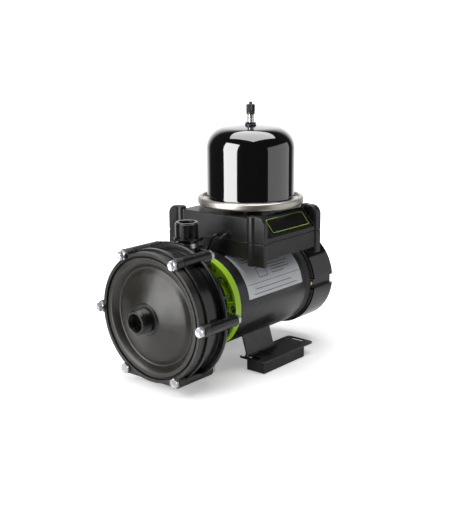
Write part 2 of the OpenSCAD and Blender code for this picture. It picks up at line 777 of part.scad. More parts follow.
module stator_core() {
    color(steel) along_y(stator_y, stator_y + core_len) difference() {
        circle(r = tube_bore_r);
        circle(r = stator_bore_r);
        slot_ring(0);
        for (i = [0 : 3]) rotate(90 * i) translate([tie_circle_r, 0]) {
            circle(r = tie_d / 2 + slide_gap);
            translate([0, -tie_d / 2 - slide_gap]) square([tube_r, tie_d + 2 * slide_gap]);
        }
    }
}

module windings() {
    inner_r = stator_bore_r + tooth_t;
    color(copper) {
        for (y = [stator_y - end_turn_len, stator_y + core_len]) translate([0, y, 0]) turned() polygon([
            [inner_r + tooth_t, 0], [inner_r + slot_depth - tooth_t, 0], [inner_r + slot_depth, tooth_t],
            [inner_r + slot_depth, end_turn_len - tooth_t], [inner_r + slot_depth - tooth_t, end_turn_len],
            [inner_r + tooth_t, end_turn_len], [inner_r, end_turn_len - tooth_t], [inner_r, tooth_t]]);
        along_y(stator_y - tooth_t / 2, stator_y + core_len + tooth_t / 2) slot_ring(-fit_gap);
    }
}

module rotor_core() {
    rotor_r = stator_bore_r - air_gap;
    color(steel) turned() polygon([
        [shaft_r, stator_y], [rotor_r - tooth_t, stator_y], [rotor_r, stator_y + tooth_t],
        [rotor_r, stator_y + core_len - tooth_t], [rotor_r - tooth_t, stator_y + core_len],
        [shaft_r, stator_y + core_len]]);
}

// Shaft with its threaded nose, and the two bearings
rear_bearing_y = shield_back_y - hub_wall - shaft_clear - bearing_t;
fan_setback = 9;
fan_hub_y = shield_back_y + fan_setback;
fan_hub_len = 12;
fan_blade_len = 16;
shaft_tail = 3;

module motor_shaft() {
    nose_y = hub_front_y - impeller_nut_t * 0.9;
    end_y = fan_hub_y + fan_hub_len + shaft_tail;
    color(steel) turned() polygon([
        [0, nose_y], [shaft_thread_d / 2, nose_y], [shaft_thread_d / 2, hub_front_y], [shaft_r, hub_front_y],
        [shaft_r, end_y - shaft_clear], [shaft_r - shaft_clear, end_y], [0, end_y]]);
}

module bearing(y) {
    inner_r = shaft_r + run_gap;
    lip = bearing_t / 8;
    land = (bearing_r - shaft_r) / 4;
    color(steel) turned() polygon([
        [inner_r, y], [inner_r + land, y], [inner_r + land, y + lip], [bearing_r - land, y + lip],
        [bearing_r - land, y], [bearing_r, y], [bearing_r, y + bearing_t], [bearing_r - land, y + bearing_t],
        [bearing_r - land, y + bearing_t - lip], [inner_r + land, y + bearing_t - lip],
        [inner_r + land, y + bearing_t], [inner_r, y + bearing_t]]);
}

module front_bearing() { bearing(front_bearing_y); }

module rear_bearing() { bearing(rear_bearing_y); }

// Rear end shield with a rounded shoulder and four lugs that hold the cowl
shoulder_drop = 3;
lug_len = 8;
lug_half_angle = 8;

module rear_end_shield() {
    spigot_r = tube_bore_r - fit_gap;
    inner_y = shield_back_y - hub_wall - shoulder_drop / 2;
    hub_y = rear_bearing_y;
    color(satin_black) difference() {
        union() {
            turned() polygon(concat(
                [[shaft_r + shaft_clear, shield_back_y]],
                arc(tube_r - shoulder_drop, shield_back_y - shoulder_drop, shoulder_drop, 90, 0, 6),
                [[tube_r, shield_y], [spigot_r, shield_y], [spigot_r, shield_y - spigot_len],
                 [spigot_r - spigot_wall, shield_y - spigot_len], [spigot_r - spigot_wall, inner_y],
                 [bearing_r + hub_wall, inner_y], [bearing_r + hub_wall, hub_y], [bearing_r, hub_y],
                 [bearing_r, hub_y + bearing_t], [shaft_r + shaft_clear, hub_y + bearing_t]]));
            for (i = [0 : 3]) along_y(shield_back_y - shoulder_drop / 3, shield_back_y + lug_len) rotate(45 + 90 * i)
                sector(cowl_r - cowl_wall - slide_gap - 2 * spigot_wall, cowl_r - cowl_wall - slide_gap,
                    -lug_half_angle, lug_half_angle);
        }
        around_shaft(4, tie_circle_r) bar_y(tie_d / 2 + fit_gap, shield_y - 2 * spigot_len, cowl_y + cut);
    }
}

// Cooling fan, its clip and the cowl
fan_hub_r = 11;
fan_plate_t = 1.6;
fan_clip_t = 1;

module cooling_fan() {
    fan_r = fan_d / 2;
    color([0.2, 0.2, 0.22]) difference() {
        union() {
            turned() polygon([
                [0, fan_hub_y], [fan_r, fan_hub_y], [fan_r, fan_hub_y + fan_plate_t],
                [fan_hub_r, fan_hub_y + fan_plate_t], [fan_hub_r, fan_hub_y + fan_hub_len],
                [0, fan_hub_y + fan_hub_len]]);
            around_shaft(blade_count, 0)
                translate([0, 0, -fan_plate_t / 2]) linear_extrude(fan_plate_t) polygon([
                    [fan_hub_r / 1.1, fan_hub_y], [fan_r, fan_hub_y], [fan_r, fan_hub_y + fan_blade_len * 0.7],
                    [fan_r * 0.85, fan_hub_y + fan_blade_len], [fan_r * 0.5, fan_hub_y + fan_blade_len],
                    [fan_hub_r / 1.1, fan_hub_y + fan_hub_len]]);
        }
        bar_y(shaft_r, fan_hub_y - cut, fan_hub_y + fan_hub_len + cut);
    }
}

module fan_clip() {
    clip_y = fan_hub_y + fan_hub_len + fit_gap;
    color(steel) along_y(clip_y, clip_y + fan_clip_t) difference() {
        circle(r = shaft_r * 1.35);
        circle(r = shaft_r);
        translate([-shaft_r * 0.4, 0]) square([shaft_r * 0.8, 2 * shaft_r]);
    }
}

cowl_round = 4;
vent_w = 3.2;
vent_pitch = 7;
vent_inner_r = 9;
vent_rings = 5;
spoke_w = 3;

module cowl_outline(r, floor_r, w) {
    difference() {
        circle(r = r);
        for (i = [0 : 3]) rotate(90 * i) translate([floor_r, -w / 2]) square([r, w]);
    }
}

module fan_cowl() {
    floor_r = cowl_r - channel_depth;
    color(gloss_black) intersection() {
        difference() {
            along_y(cowl_y, cowl_back_y) cowl_outline(cowl_r, floor_r, channel_w);
            along_y(cowl_y - cut, cowl_back_y - cowl_wall)
                cowl_outline(cowl_r - cowl_wall, floor_r - cowl_wall, channel_w + 2 * cowl_wall);
            along_y(cowl_back_y - cowl_wall - cut, cowl_back_y + cut) difference() {
                for (i = [0 : vent_rings - 1]) difference() {
                    circle(r = vent_inner_r + i * vent_pitch + vent_w);
                    circle(r = vent_inner_r + i * vent_pitch);
                }
                for (a = [0, 60, 120]) rotate(a) square([cowl_d, spoke_w], center = true);
            }
            around_shaft(4, tie_circle_r)
                bar_y(tie_nut_af * 0.62 + slide_gap, cowl_y - cut, shield_back_y + tie_nut_t + tie_tail + cut);
        }
        turned() polygon(concat(
            [[0, cowl_y - cut], [cowl_r + cut, cowl_y - cut], [cowl_r + cut, cowl_back_y - 2 * cowl_round],
             [cowl_r, cowl_back_y - 2 * cowl_round]],
            arc(cowl_r - cowl_round, cowl_back_y - cowl_round, cowl_round, 0, 90, 8),
            [[0, cowl_back_y]]));
    }
}

// Feet: a pressed plate with a leaning web on each side, and its rubber block
foot_setback = 22;
foot_y = tube_y + foot_setback;
foot_outer_x = foot_span / 2;
foot_w = 37;
foot_inner_x = foot_outer_x - foot_w;
plate_top_z = -shaft_height + rubber_t + foot_t;
web_lean = 17;
web_inset = 29;
web_x = foot_outer_x - web_inset;
web_len = 54;
web_setback = 3;
web_y = foot_y + web_setback;
web_round = 5;
slot_x = foot_slot_span / 2;
slot_setback = 6.5;
slot_y = foot_y + slot_setback;
rib_slot_step = 20;
rib_slot_y = slot_y + rib_slot_step;
rubber_inset = 0.3;
rubber_setback = 1;

module foot_slots(z0, z1) {
    for (y = [slot_y, slot_y + foot_slot_pitch]) translate([slot_x, y, z0]) linear_extrude(z1 - z0) {
        square([foot_slot_len - foot_slot_w, foot_slot_w], center = true);
        for (side = [-1, 1]) translate([side * (foot_slot_len - foot_slot_w) / 2, 0]) circle(d = foot_slot_w);
    }
}

module foot_plate() {
    web_h = tube_r * 0.75;
    color(satin_black) difference() {
        union() {
            difference() {
                translate([(foot_outer_x + foot_inner_x) / 2, foot_y + foot_len / 2, plate_top_z - foot_t])
                    linear_extrude(foot_t) rounded_rect(foot_w, foot_len, web_round);
                translate([foot_inner_x - cut, web_y, plate_top_z - foot_t - cut])
                    cube([web_x - foot_inner_x + cut, web_len, foot_t + 2 * cut]);
            }
            translate([web_x, web_y, plate_top_z - foot_t]) rotate([0, -web_lean, 0])
                rotate([90, 0, 90]) linear_extrude(foot_t) {
                    translate([web_round / 2, 0]) square([web_len - web_round, web_h]);
                    difference() {
                        translate([-web_round / 2, 0]) square([web_len + web_round, foot_t + web_round]);
                        for (x = [-web_round / 2, web_len + web_round / 2])
                            translate([x, foot_t + web_round]) circle(r = web_round);
                    }
                }
            translate([web_x + slide_gap * 2, web_y, plate_top_z]) cube([foot_t, web_len, foot_t / 2]);
        }
        foot_slots(plate_top_z - foot_t - cut, plate_top_z + cut);
        translate([slot_x, rib_slot_y, plate_top_z - foot_t / 2]) linear_extrude(foot_t)
            rounded_rect(foot_slot_len, foot_slot_w / 2, foot_slot_w / 5);
        bar_y(tube_r, foot_y - cut, foot_y + foot_len + cut);
        translate([0, foot_y - cut, plate_top_z - foot_t - cut - web_round])
            cube([foot_outer_x, foot_len + 2 * cut, cut + web_round]);
    }
}

module foot_plate_right() { foot_plate(); }

module foot_plate_left() { mirror([1, 0, 0]) foot_plate(); }

module rubber_foot() {
    rubber_x = foot_outer_x - rubber_inset - rubber_w;
    color(rubber_black) difference() {
        translate([rubber_x, foot_y + rubber_setback, -shaft_height]) cube([rubber_w, rubber_len, rubber_t]);
        foot_slots(-shaft_height - cut, -shaft_height + rubber_t + cut);
    }
}

module rubber_foot_right() { rubber_foot(); }

module rubber_foot_left() { mirror([1, 0, 0]) rubber_foot(); }

// Electrics box: base and lid with corner blocks that carry the screws
box_y = tube_y + box_setback;
box_back_y = box_y + box_len;
box_sink = 1.5;
base_z = tube_r - box_sink;
joint_z = base_z + base_h;
lid_z = joint_z + lid_h;
inset = 1.5;
side_x = box_w / 2 - inset;
side_rise = 5;
slope_low_z = joint_z + side_rise;
slope_run = 18.5;
slope_x = side_x - slope_run;
block_w = 18;
block_len = 8;
block_drop = 7;
block_round = 10.5;
column_x = box_w / 2 - block_w;
column_r = 5.4;
column_front_inset = 4;
column_back_inset = 5;
column_front_y = box_y + column_front_inset;
column_back_y = box_back_y - column_back_inset;
screw_d = 3;
floor_t = 3;
tube_gap = label_t + slide_gap;
vessel_setback = 65.5;
vessel_y = box_y + vessel_setback;
lead_d = 3.2;
lead_a_x = 7;
lead_a_rise = 4.5;
lead_b_x = 21;
lead_b_rise = 6.5;
lead_hole_a = [lead_a_x, joint_z + lead_a_rise];
lead_hole_b = [lead_b_x, joint_z + lead_b_rise];
grommet_r = 3.4;
grommet_lip = 1;

module box_columns(z0, z1, r) {
    for (x = [-column_x, column_x], y = [column_front_y, column_back_y])
        translate([x, y, z0]) cylinder(r = r, h = z1 - z0);
}

// Outline of a corner block, seen along the shaft, with its top corner rounded
module block_outline(z0, z1, round_r) {
    for (side = [0, 1]) mirror([side, 0]) polygon(concat(
        [[column_x, z0], [box_w / 2, z0]],
        arc(box_w / 2 - round_r, z1 - round_r, round_r, 0, 90, 10), [[column_x, z1]]));
}

module blocks(z0, z1, round_r) {
    along_y(box_y + inset, box_y + block_len) block_outline(z0, z1, round_r);
    along_y(box_back_y - block_len - inset, box_back_y) block_outline(z0, z1, round_r);
}

gland_inset = 30;
gland_x = gland_inset - box_w / 2;
gland_z = base_z + base_h / 2;
gland_d = 12;

module box_base() {
    color(black_plastic) difference() {
        union() {
            translate([0, (box_y + box_back_y) / 2, base_z]) linear_extrude(base_h)
                rounded_rect(2 * side_x, box_len - 2 * inset, 2 * inset);
            blocks(base_z - block_drop, joint_z, inset);
            box_columns(base_z - block_drop, joint_z, column_r);
        }
        difference() {
            translate([box_wall - side_x, box_y + inset + box_wall, base_z + floor_t + tube_gap])
                cube([2 * (side_x - box_wall), box_len - 2 * (inset + box_wall), base_h]);
            box_columns(base_z, joint_z + cut, column_r);
            blocks(base_z, joint_z + cut, inset);
        }
        bar_y(tube_r + tube_gap, box_y - column_r, box_back_y + column_r);
        box_columns(base_z, joint_z + cut, screw_d / 2);
        translate([gland_x, 0, gland_z]) bar_y(gland_d / 2 + fit_gap, box_back_y - 4 * box_wall, box_back_y + cut);
    }
}

module lid_outline(wall) {
    polygon([
        [wall - side_x, joint_z], [wall - side_x, slope_low_z - wall / 3], [wall / 2 - slope_x, lid_z - wall],
        [slope_x - wall / 2, lid_z - wall], [side_x - wall, slope_low_z - wall / 3], [side_x - wall, joint_z]]);
}

badge_t = 0.8;
badge_recess = 0.5;
badge_setback = 22.5;
badge_y = box_y + badge_setback;
slope_angle = atan2(lid_z - slope_low_z, side_x - slope_x);

// Sets a shape on the right-hand slope of the lid, with its own x down the slope and z outwards
module on_slope() {
    translate([(side_x + slope_x) / 2, 0, (lid_z + slope_low_z) / 2]) rotate([0, slope_angle, 0]) children();
}

module box_lid() {
    rise_z = lid_z + ear_rise;
    color(black_plastic) difference() {
        union() {
            along_y(box_y + inset, box_back_y - inset) lid_outline(0);
            blocks(joint_z, rise_z, block_round);
            box_columns(joint_z, rise_z, column_r);
        }
        difference() {
            along_y(box_y + inset + box_wall, box_back_y - inset - box_wall) lid_outline(box_wall);
            box_columns(joint_z - cut, lid_z, column_r);
        }
        translate([0, 0, joint_z - cut]) linear_extrude(cut) square([2 * box_w, 4 * box_len], center = true);
        box_columns(joint_z - cut, rise_z + cut, screw_d / 2 + fit_gap);
        box_columns(rise_z - screw_d / 2, rise_z + cut, screw_d + slide_gap);
        translate([0, vessel_y, lid_z - 3 * box_wall]) cylinder(r = neck_d / 2 + slide_gap, h = 4 * box_wall);
        for (p = [lead_hole_a, lead_hole_b]) translate([p[0], 0, p[1]])
            bar_y(grommet_r - lead_d / 4, box_y, box_y + inset + box_wall + cut);
        on_slope() translate([0, badge_y + badge_len / 2, -badge_recess])
            linear_extrude(cut) rounded_rect(badge_w + 2 * fit_gap, badge_len + 2 * fit_gap, inset);
    }
}

module lid_screws() {
    head_z = lid_z + ear_rise - screw_d / 2;
    color(gloss_black) {
        box_columns(base_z + floor_t, head_z + screw_d / 6, screw_d / 2);
        difference() {
            box_columns(head_z, head_z + screw_d * 0.7, screw_d * 0.95);
            for (x = [-column_x, column_x], y = [column_front_y, column_back_y], a = [0, 90])
                translate([x, y, head_z + screw_d * 0.5]) rotate(a)
                cube([screw_d * 1.1, screw_d * 0.22, screw_d], center = true);
        }
    }
}

module badge_plate() {
    color([0.1, 0.11, 0.1]) on_slope() translate([0, badge_y + badge_len / 2, -badge_recess])
        linear_extrude(badge_t) rounded_rect(badge_w, badge_len, inset);
}

module lead_grommets() {
    color(rubber_black) for (p = [lead_hole_a, lead_hole_b]) translate([p[0], box_y + inset, p[1]])
        turned() polygon([
            [lead_d / 2 + fit_gap, -grommet_lip], [grommet_r, -grommet_lip], [grommet_r, 0], [grommet_r - lead_d / 4, 0],
            [grommet_r - lead_d / 4, box_wall], [grommet_r, box_wall], [grommet_r, box_wall + grommet_lip],
            [lead_d / 2 + fit_gap, box_wall + grommet_lip]]);
}

// Leads of the sensor: down from its holder, under the saddle and up to the box
lead_sides = 8;
lead_rest = 0.4;
lead_low_z = ring_r + lead_rest + lead_d / 2;
lead_a_route = [[-2.5, 98.6, 62.7], [-2.5, 98.6, 62.1], [-2.5, 98.9, 59.9], [-2.5, 99.9, 57.9],
    [-2.4, 101.5, 56.3], [-2.5, 103.4, 55.3], [-2.5, 105.5, 54.9], [-2.6, 109.5, 54.9], [-2.3, 111.7, 55.4],
    [-1.8, 113.6, 56.3], [-1.3, 115, 57.6], [-0.4, 116.1, 59.4], [0.6, 116.5, 61.2], [4, 116.3, 67.7],
    [4.8, 116.7, 69.7], [5.6, 117.7, 71.4], [6.3, 119.2, 72.7], [6.8, 121.2, 73.6], [7.1, 123.3, 73.9],
    [7, 129, 74]];
lead_b_route = [[2.5, 98.6, 62.7], [2.5, 98.6, 62.1], [2.5, 98.9, 59.9], [2.5, 99.9, 57.9],
    [2.5, 101.5, 56.3], [2.4, 103.5, 55.3], [2.6, 105.6, 54.9], [2.5, 109.5, 54.9], [2.7, 111.6, 55.2],
    [3.4, 113.6, 56], [4.4, 115.1, 57.2], [5.6, 116.1, 58.6], [7.2, 116.5, 60.4], [11.8, 116.4, 65.6],
    [16.5, 116.3, 70.7], [17.8, 116.8, 72.5], [19.1, 117.8, 73.9], [20.1, 119.3, 75], [20.8, 121.1, 75.7],
    [21.1, 123.5, 76], [21, 129, 76]];

module lead(path) {
    last = len(path) - 1;
    dirs = [for (i = [0 : last]) i == 0 ? [0, 0, -1] : i == last ? [0, 1, 0] : path_dir(path, i)];
    color(rubber_black) swept(path, dirs, lead_d / 2, lead_sides, [1, 0, 0]);
}

module sensor_lead_a() { lead(lead_a_route); }

module sensor_lead_b() { lead(lead_b_route); }

// Plated saddle that holds the leads on top of the adaptor ring
saddle_w = 15;
saddle_len = 5;
saddle_t = 1.2;
saddle_y = tube_y - ring_t / 3;

module saddle_outline(grow) {
    saddle_top_z = lead_low_z + lead_d / 2 + slide_gap;
    rounded_rect(saddle_w - 2 * saddle_t + 2 * grow, 2 * (saddle_top_z + grow), lead_d / 2);
}

module lead_saddle() {
    color(zinc) along_y(saddle_y, saddle_y + saddle_len) difference() {
        intersection() {
            saddle_outline(saddle_t);
            translate([-saddle_w, ring_r / 2]) square([2 * saddle_w, ring_r]);
        }
        saddle_outline(0);
        circle(r = ring_r);
    }
}

// Circuit board on its posts, with the capacitor on top
board_t = 1.6;
board_z = base_z + floor_t + tube_gap + fit_gap;
board_w_share = 0.62;
board_len_share = 0.72;
capacitor_d = 24;
capacitor_len = 50;
capacitor_setback = 26;
capacitor_y = box_y + capacitor_setback;

module circuit_board() {
    board_w = board_w_share * box_w;
    board_len = board_len_share * box_len;
    part = board_len / 8;
    centre_y = (box_y + box_back_y) / 2;
    color([0.1, 0.35, 0.16]) {
        translate([-board_w / 2, centre_y - board_len / 2, board_z]) cube([board_w, board_len, board_t]);
        translate([-board_w / 3, centre_y + part, board_z + board_t / 2]) cube([2 * part, 1.5 * part, part]);
        translate([board_w / 5, centre_y + part, board_z + board_t / 2]) cube([1.5 * part, 2 * part, 0.8 * part]);
        translate([board_w / 5, centre_y - part / 2, board_z + board_t / 2])
            cylinder(d = part, h = part * 1.2);
    }
}

module run_capacitor() {
    z = board_z + board_t + capacitor_d / 2 + fit_gap;
    color([0.8, 0.8, 0.82]) translate([-capacitor_len / 2, capacitor_y, z]) rotate([0, 90, 0])
        cylinder(d = capacitor_d, h = capacitor_len);
}

module cable_gland() {
    color(black_plastic) translate([gland_x, box_back_y - inset, gland_z]) difference() {
        union() {
            bar_y(gland_d / 2, -box_wall, gland_d / 12);
            hex_y(gland_d * 1.3, 0, gland_d / 2);
            turned() polygon(concat([[0, gland_d * 0.42], [gland_d * 0.6, gland_d * 0.42]],
                arc(0, gland_d / 2, gland_d * 0.6, 0, 80, 8), [[0, gland_d * 1.09]]));
        }
        bar_y(gland_d / 3, -box_wall - cut, gland_d * 2);
    }
}

// Pressure vessel: dish with its neck, clamp ring, diaphragm and dome
dish_z = lid_z + vessel_lift;
neck_r2 = neck_d / 2;
dome_r = dome_d / 2;
clamp_r = clamp_d / 2;
clamp_wall = 1.6;
flange_r = clamp_r - clamp_wall - fit_gap * 2;
dish_rise = 2.4;
flange_z = dish_z + dish_rise;
gasket_t = 1.4;
dome_flange_z = flange_z + vessel_t + gasket_t + 2 * fit_gap;
dome_top_z = dome_flange_z + dome_h + vessel_t;
neck_bore_r = neck_r2 / 2;
neck_drop = 11.5;
neck_foot_z = lid_z - neck_drop;
neck_tail = 1;
dish_step = 0.5;
flare = 3;
clamp_lip = 3.4;
clamp_edge = 1;

module vessel_base() {
    color(gloss_black) translate([0, vessel_y, 0]) rotate_extrude() polygon([
        [neck_bore_r, neck_foot_z], [neck_r2, neck_foot_z], [neck_r2, lid_z], [neck_r2 * 1.35, lid_z],
        [neck_r2 * 1.35, dish_z - dish_step], [flange_r * 0.83, dish_z], [flange_r * 0.95, flange_z - 2 * dish_step],
        [flange_r, flange_z], [flange_r, flange_z + vessel_t], [flange_r * 0.94, flange_z + vessel_t],
        [flange_r * 0.82, dish_z + vessel_t], [neck_r2 * 1.35, dish_z + vessel_t - dish_step],
        [neck_bore_r, dish_z + vessel_t - dish_step]]);
}

module vessel_nut() {
    color(brass) translate([0, vessel_y, neck_foot_z + neck_tail]) difference() {
        cylinder(r = neck_r2 * 1.5, h = neck_drop - box_wall - neck_tail - fit_gap, $fn = 6);
        translate([0, 0, -cut]) cylinder(r = neck_r2 + fit_gap, h = neck_drop + cut);
    }
}

module clamp_ring() {
    top_z = dish_z + clamp_h;
    lip_r = flange_r - clamp_lip;
    mid_z = (dish_z + top_z) / 2;
    low_z = dish_z - clamp_edge / 5;
    color([0.78, 0.76, 0.72]) translate([0, vessel_y, 0]) rotate_extrude() polygon([
        [lip_r, low_z], [flange_r - clamp_edge * 0.6, low_z - clamp_edge * 0.4],
        [clamp_r - clamp_wall / 3, low_z + clamp_edge], [clamp_r, mid_z - clamp_edge], [clamp_r, mid_z + clamp_edge],
        [clamp_r - clamp_wall / 3, top_z - clamp_edge * 1.2], [flange_r - clamp_edge, top_z],
        [lip_r, top_z - clamp_edge / 5], [lip_r, dome_flange_z + vessel_t + fit_gap],
        [flange_r + fit_gap, dome_flange_z + vessel_t + fit_gap], [flange_r + fit_gap, flange_z - fit_gap],
        [flange_r - clamp_edge * 0.6, flange_z - clamp_edge], [flange_r - clamp_edge * 1.2, low_z + clamp_edge],
        [lip_r, low_z + clamp_edge * 0.8]]);
}

module diaphragm() {
    z0 = flange_z + vessel_t + fit_gap;
    depth = dome_h * 0.24;
    wall_r = dome_r - vessel_t - slide_gap;
    r1 = dome_r - vessel_t - clamp_edge;
    color(rubber_black) translate([0, vessel_y, 0]) rotate_extrude() polygon([
        [flange_r - fit_gap, z0], [flange_r - fit_gap, z0 + gasket_t], [wall_r, z0 + gasket_t],
        [r1 * 0.97, z0 + depth * 0.35], [r1 * 0.88, z0 + depth * 0.75], [r1 * 0.6, z0 + depth],
        [0, z0 + depth * 1.05], [0, z0 + depth * 1.05 - gasket_t], [r1 * 0.59, z0 + depth - gasket_t],
        [r1 * 0.86, z0 + depth * 0.75 - gasket_t], [r1 * 0.94, z0 + depth * 0.33],
        [wall_r - gasket_t, z0]]);
}

// Outline of the dome from its flange to the valve hole, drawn in from the outer skin by a given amount
crown_h = 1.8;
shoulder_z = dome_top_z - shoulder_r - crown_h;
function dome_skin(by) = concat(
    [[dome_r - by, dome_flange_z + vessel_t + flare]],
    arc(dome_r - shoulder_r, shoulder_z, shoulder_r - by, 0, 80, 14));

module vessel_dome() {
    color(gloss_black) translate([0, vessel_y, 0]) rotate_extrude() polygon(concat(
        [[dome_r - vessel_t, dome_flange_z], [flange_r - fit_gap, dome_flange_z],
         [flange_r - fit_gap, dome_flange_z + vessel_t], [dome_r + flare, dome_flange_z + vessel_t]],
        arc(dome_r + flare, dome_flange_z + vessel_t + flare, flare, 270, 180, 4),
        dome_skin(0), [[stem_d / 2 + fit_gap, dome_top_z], [stem_d / 2 + fit_gap, dome_top_z - vessel_t]],
        [for (i = [len(dome_skin(vessel_t)) - 1 : -1 : 0]) dome_skin(vessel_t)[i]]));
}

// Air valve: stem with an inner flange, nut, insert, sprung pin, and the cap with its seal
stem_r = stem_d / 2;
stem_flange_r = stem_r * 2;
stem_bore_r = stem_r / 2;
stem_rise = 18.2;
stem_flange_t = 3.2;
stem_chamfer = 0.5;
stem_top_z = dome_top_z + stem_rise;
valve_nut_t = 3.4;
pin_r = 0.75;
pin_foot_r = stem_bore_r - slide_gap;
insert_len = 7;
insert_gap = 0.1;
pin_travel = 1.5;
pin_top_z = stem_top_z - fit_gap;
insert_z = stem_top_z - insert_len - pin_travel;
cap_wall = 0.75;
cap_top_t = 3.9;
cap_h = 11.2;
cap_nub_h = 2.8;
cap_chamfer = 1;
cap_rib_count = 20;
seal_t = 1.4;
cap_z = stem_top_z + seal_t + 2 * fit_gap + cap_top_t - cap_h;

module valve_stem() {
    flange_top_z = dome_top_z - vessel_t - slide_gap - fit_gap;
    foot_z = flange_top_z - stem_flange_t;
    color(steel) translate([0, vessel_y, 0]) rotate_extrude() polygon([
        [stem_bore_r, foot_z], [stem_flange_r, foot_z], [stem_flange_r, flange_top_z], [stem_r, flange_top_z],
        [stem_r, stem_top_z - stem_chamfer], [stem_r - stem_chamfer, stem_top_z], [stem_bore_r, stem_top_z]]);
}

module valve_nut() {
    color([0.2, 0.2, 0.21]) translate([0, vessel_y, dome_top_z + fit_gap]) difference() {
        union() {
            cylinder(r = stem_r * 1.7, h = valve_nut_t / 3);
            cylinder(r = stem_r * 1.55, h = valve_nut_t, $fn = 6);
        }
        translate([0, 0, -cut]) cylinder(r = stem_r + fit_gap, h = valve_nut_t + 2 * cut);
    }
}

module valve_insert() {
    color(brass) translate([0, vessel_y, insert_z]) difference() {
        cylinder(r = stem_bore_r, h = insert_len);
        translate([0, 0, -cut]) cylinder(r = pin_r + insert_gap, h = insert_len + 2 * cut);
    }
}

module valve_pin() {
    foot_h = pin_foot_r + slide_gap;
    color(brass) translate([0, vessel_y, 0]) {
        translate([0, 0, insert_z - slide_gap - foot_h]) cylinder(r = pin_foot_r, h = foot_h);
        translate([0, 0, insert_z - slide_gap - pin_r]) cylinder(r = pin_r, h = pin_top_z - insert_z + slide_gap + pin_r);
    }
}

module cap_seal() {
    color(rubber_black) translate([0, vessel_y, stem_top_z + fit_gap]) difference() {
        cylinder(r = stem_r - fit_gap, h = seal_t);
        translate([0, 0, -cut]) cylinder(r = pin_r + slide_gap, h = seal_t + 2 * cut);
    }
}

module valve_cap() {
    cap_r = cap_d / 2;
    color(satin_black) translate([0, vessel_y, cap_z]) difference() {
        union() {
            rotate_extrude() polygon([
                [0, 0], [cap_r - cap_wall, 0], [cap_r - cap_wall / 3, cap_chamfer], [cap_r - cap_wall / 3, cap_h - cap_chamfer],
                [cap_r - cap_wall, cap_h], [cap_r / 3, cap_h], [cap_r / 3, cap_h + cap_nub_h - cap_chamfer / 2],
                [cap_r / 5, cap_h + cap_nub_h], [0, cap_h + cap_nub_h]]);
            translate([0, 0, cap_h * 0.28]) linear_extrude(cap_h * 0.64) for (i = [0 : cap_rib_count - 1])
                rotate(360 * i / cap_rib_count) translate([cap_r - cap_wall, -cap_wall / 3])
                square([cap_wall, cap_wall * 0.66]);
        }
        translate([0, 0, -cut]) cylinder(r = stem_r + fit_gap * 1.5, h = cap_h - cap_top_t + cut);
    }
}

front_cover();
cover_o_ring();
pump_body();
cover_bolts();
cover_nuts();
impeller();
impeller_nut();
seal_rotor();
seal_spring();
seal_seat();
adaptor_screws();
flow_float();
float_guide();
sensor_holder();
sensor_clip();
sensor_lead_a();
sensor_lead_b();
lead_saddle();
lead_grommets();
adaptor_ring();
tie_bolts();
tie_nuts();
motor_tube();
rating_label();
stator_core();
windings();
rotor_core();
motor_shaft();
front_bearing();
rear_bearing();
rear_end_shield();
cooling_fan();
fan_clip();
fan_cowl();
foot_plate_right();
foot_plate_left();
rubber_foot_right();
rubber_foot_left();
box_base();
box_lid();
lid_screws();
badge_plate();
circuit_board();
run_capacitor();
cable_gland();
vessel_base();
clamp_ring();
vessel_dome();
diaphragm();
vessel_nut();
valve_stem();
valve_nut();
valve_insert();
valve_pin();
cap_seal();
valve_cap();
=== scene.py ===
import math

import bmesh
import bpy
from mathutils import Matrix, Vector


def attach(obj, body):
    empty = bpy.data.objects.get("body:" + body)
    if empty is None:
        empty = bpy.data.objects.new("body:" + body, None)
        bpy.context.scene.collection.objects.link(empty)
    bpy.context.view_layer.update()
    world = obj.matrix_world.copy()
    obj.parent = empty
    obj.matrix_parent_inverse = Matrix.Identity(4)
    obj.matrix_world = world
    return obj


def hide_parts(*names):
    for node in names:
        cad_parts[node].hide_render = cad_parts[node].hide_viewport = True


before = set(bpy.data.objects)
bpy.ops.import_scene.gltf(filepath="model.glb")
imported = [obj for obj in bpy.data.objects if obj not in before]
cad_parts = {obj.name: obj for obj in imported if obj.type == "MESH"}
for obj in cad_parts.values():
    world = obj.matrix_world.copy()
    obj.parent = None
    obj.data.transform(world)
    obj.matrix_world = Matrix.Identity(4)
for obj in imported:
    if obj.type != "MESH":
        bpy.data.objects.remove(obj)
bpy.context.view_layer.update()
mm = 0.001

# Camera: a long lens in front of the pump and to its right, a little above the wiring box.
# It stands so that the port threads, the bolts and the vessel fall where the photograph has them.
turn, tilt, roll = math.radians(40.4), math.radians(13.5), math.radians(-0.4)
away = Vector((math.sin(turn) * math.cos(tilt), -math.cos(turn) * math.cos(tilt), math.sin(tilt)))
level = Vector((math.cos(turn), math.sin(turn), 0))
upright = away.cross(level)
right = math.cos(roll) * level + math.sin(roll) * upright
up = math.cos(roll) * upright - math.sin(roll) * level
lens_place = (80.3 * right + 66.9 * up + 970.8 * away + Vector((0, 20, 0))) * mm
camera = bpy.data.objects.new("camera", bpy.data.cameras.new("camera"))
camera.data.sensor_fit = "HORIZONTAL"
camera.data.sensor_width = 36
camera.data.lens = 74.26
camera.matrix_world = Matrix.Translation(lens_place) @ Matrix((right, up, away)).transposed().to_4x4()
bpy.context.scene.collection.objects.link(camera)
bpy.context.scene.camera = camera


# Studio: white paper under the pump, a bright wall far behind it, and three soft boxes in a dark room.
# The camera sees white all round. Gloss surfaces see the wall as a thin rim and the boxes as clear panes.
def node_of(tree, kind, **settings):
    made = tree.nodes.new(kind)
    for key, value in settings.items():
        if key in made.inputs:
            made.inputs[key].default_value = value
        else:
            setattr(made, key, value)
    return made


def chain(tree, *sockets):
    for source, target in zip(sockets[::2], sockets[1::2]):
        tree.links.new(source, target)


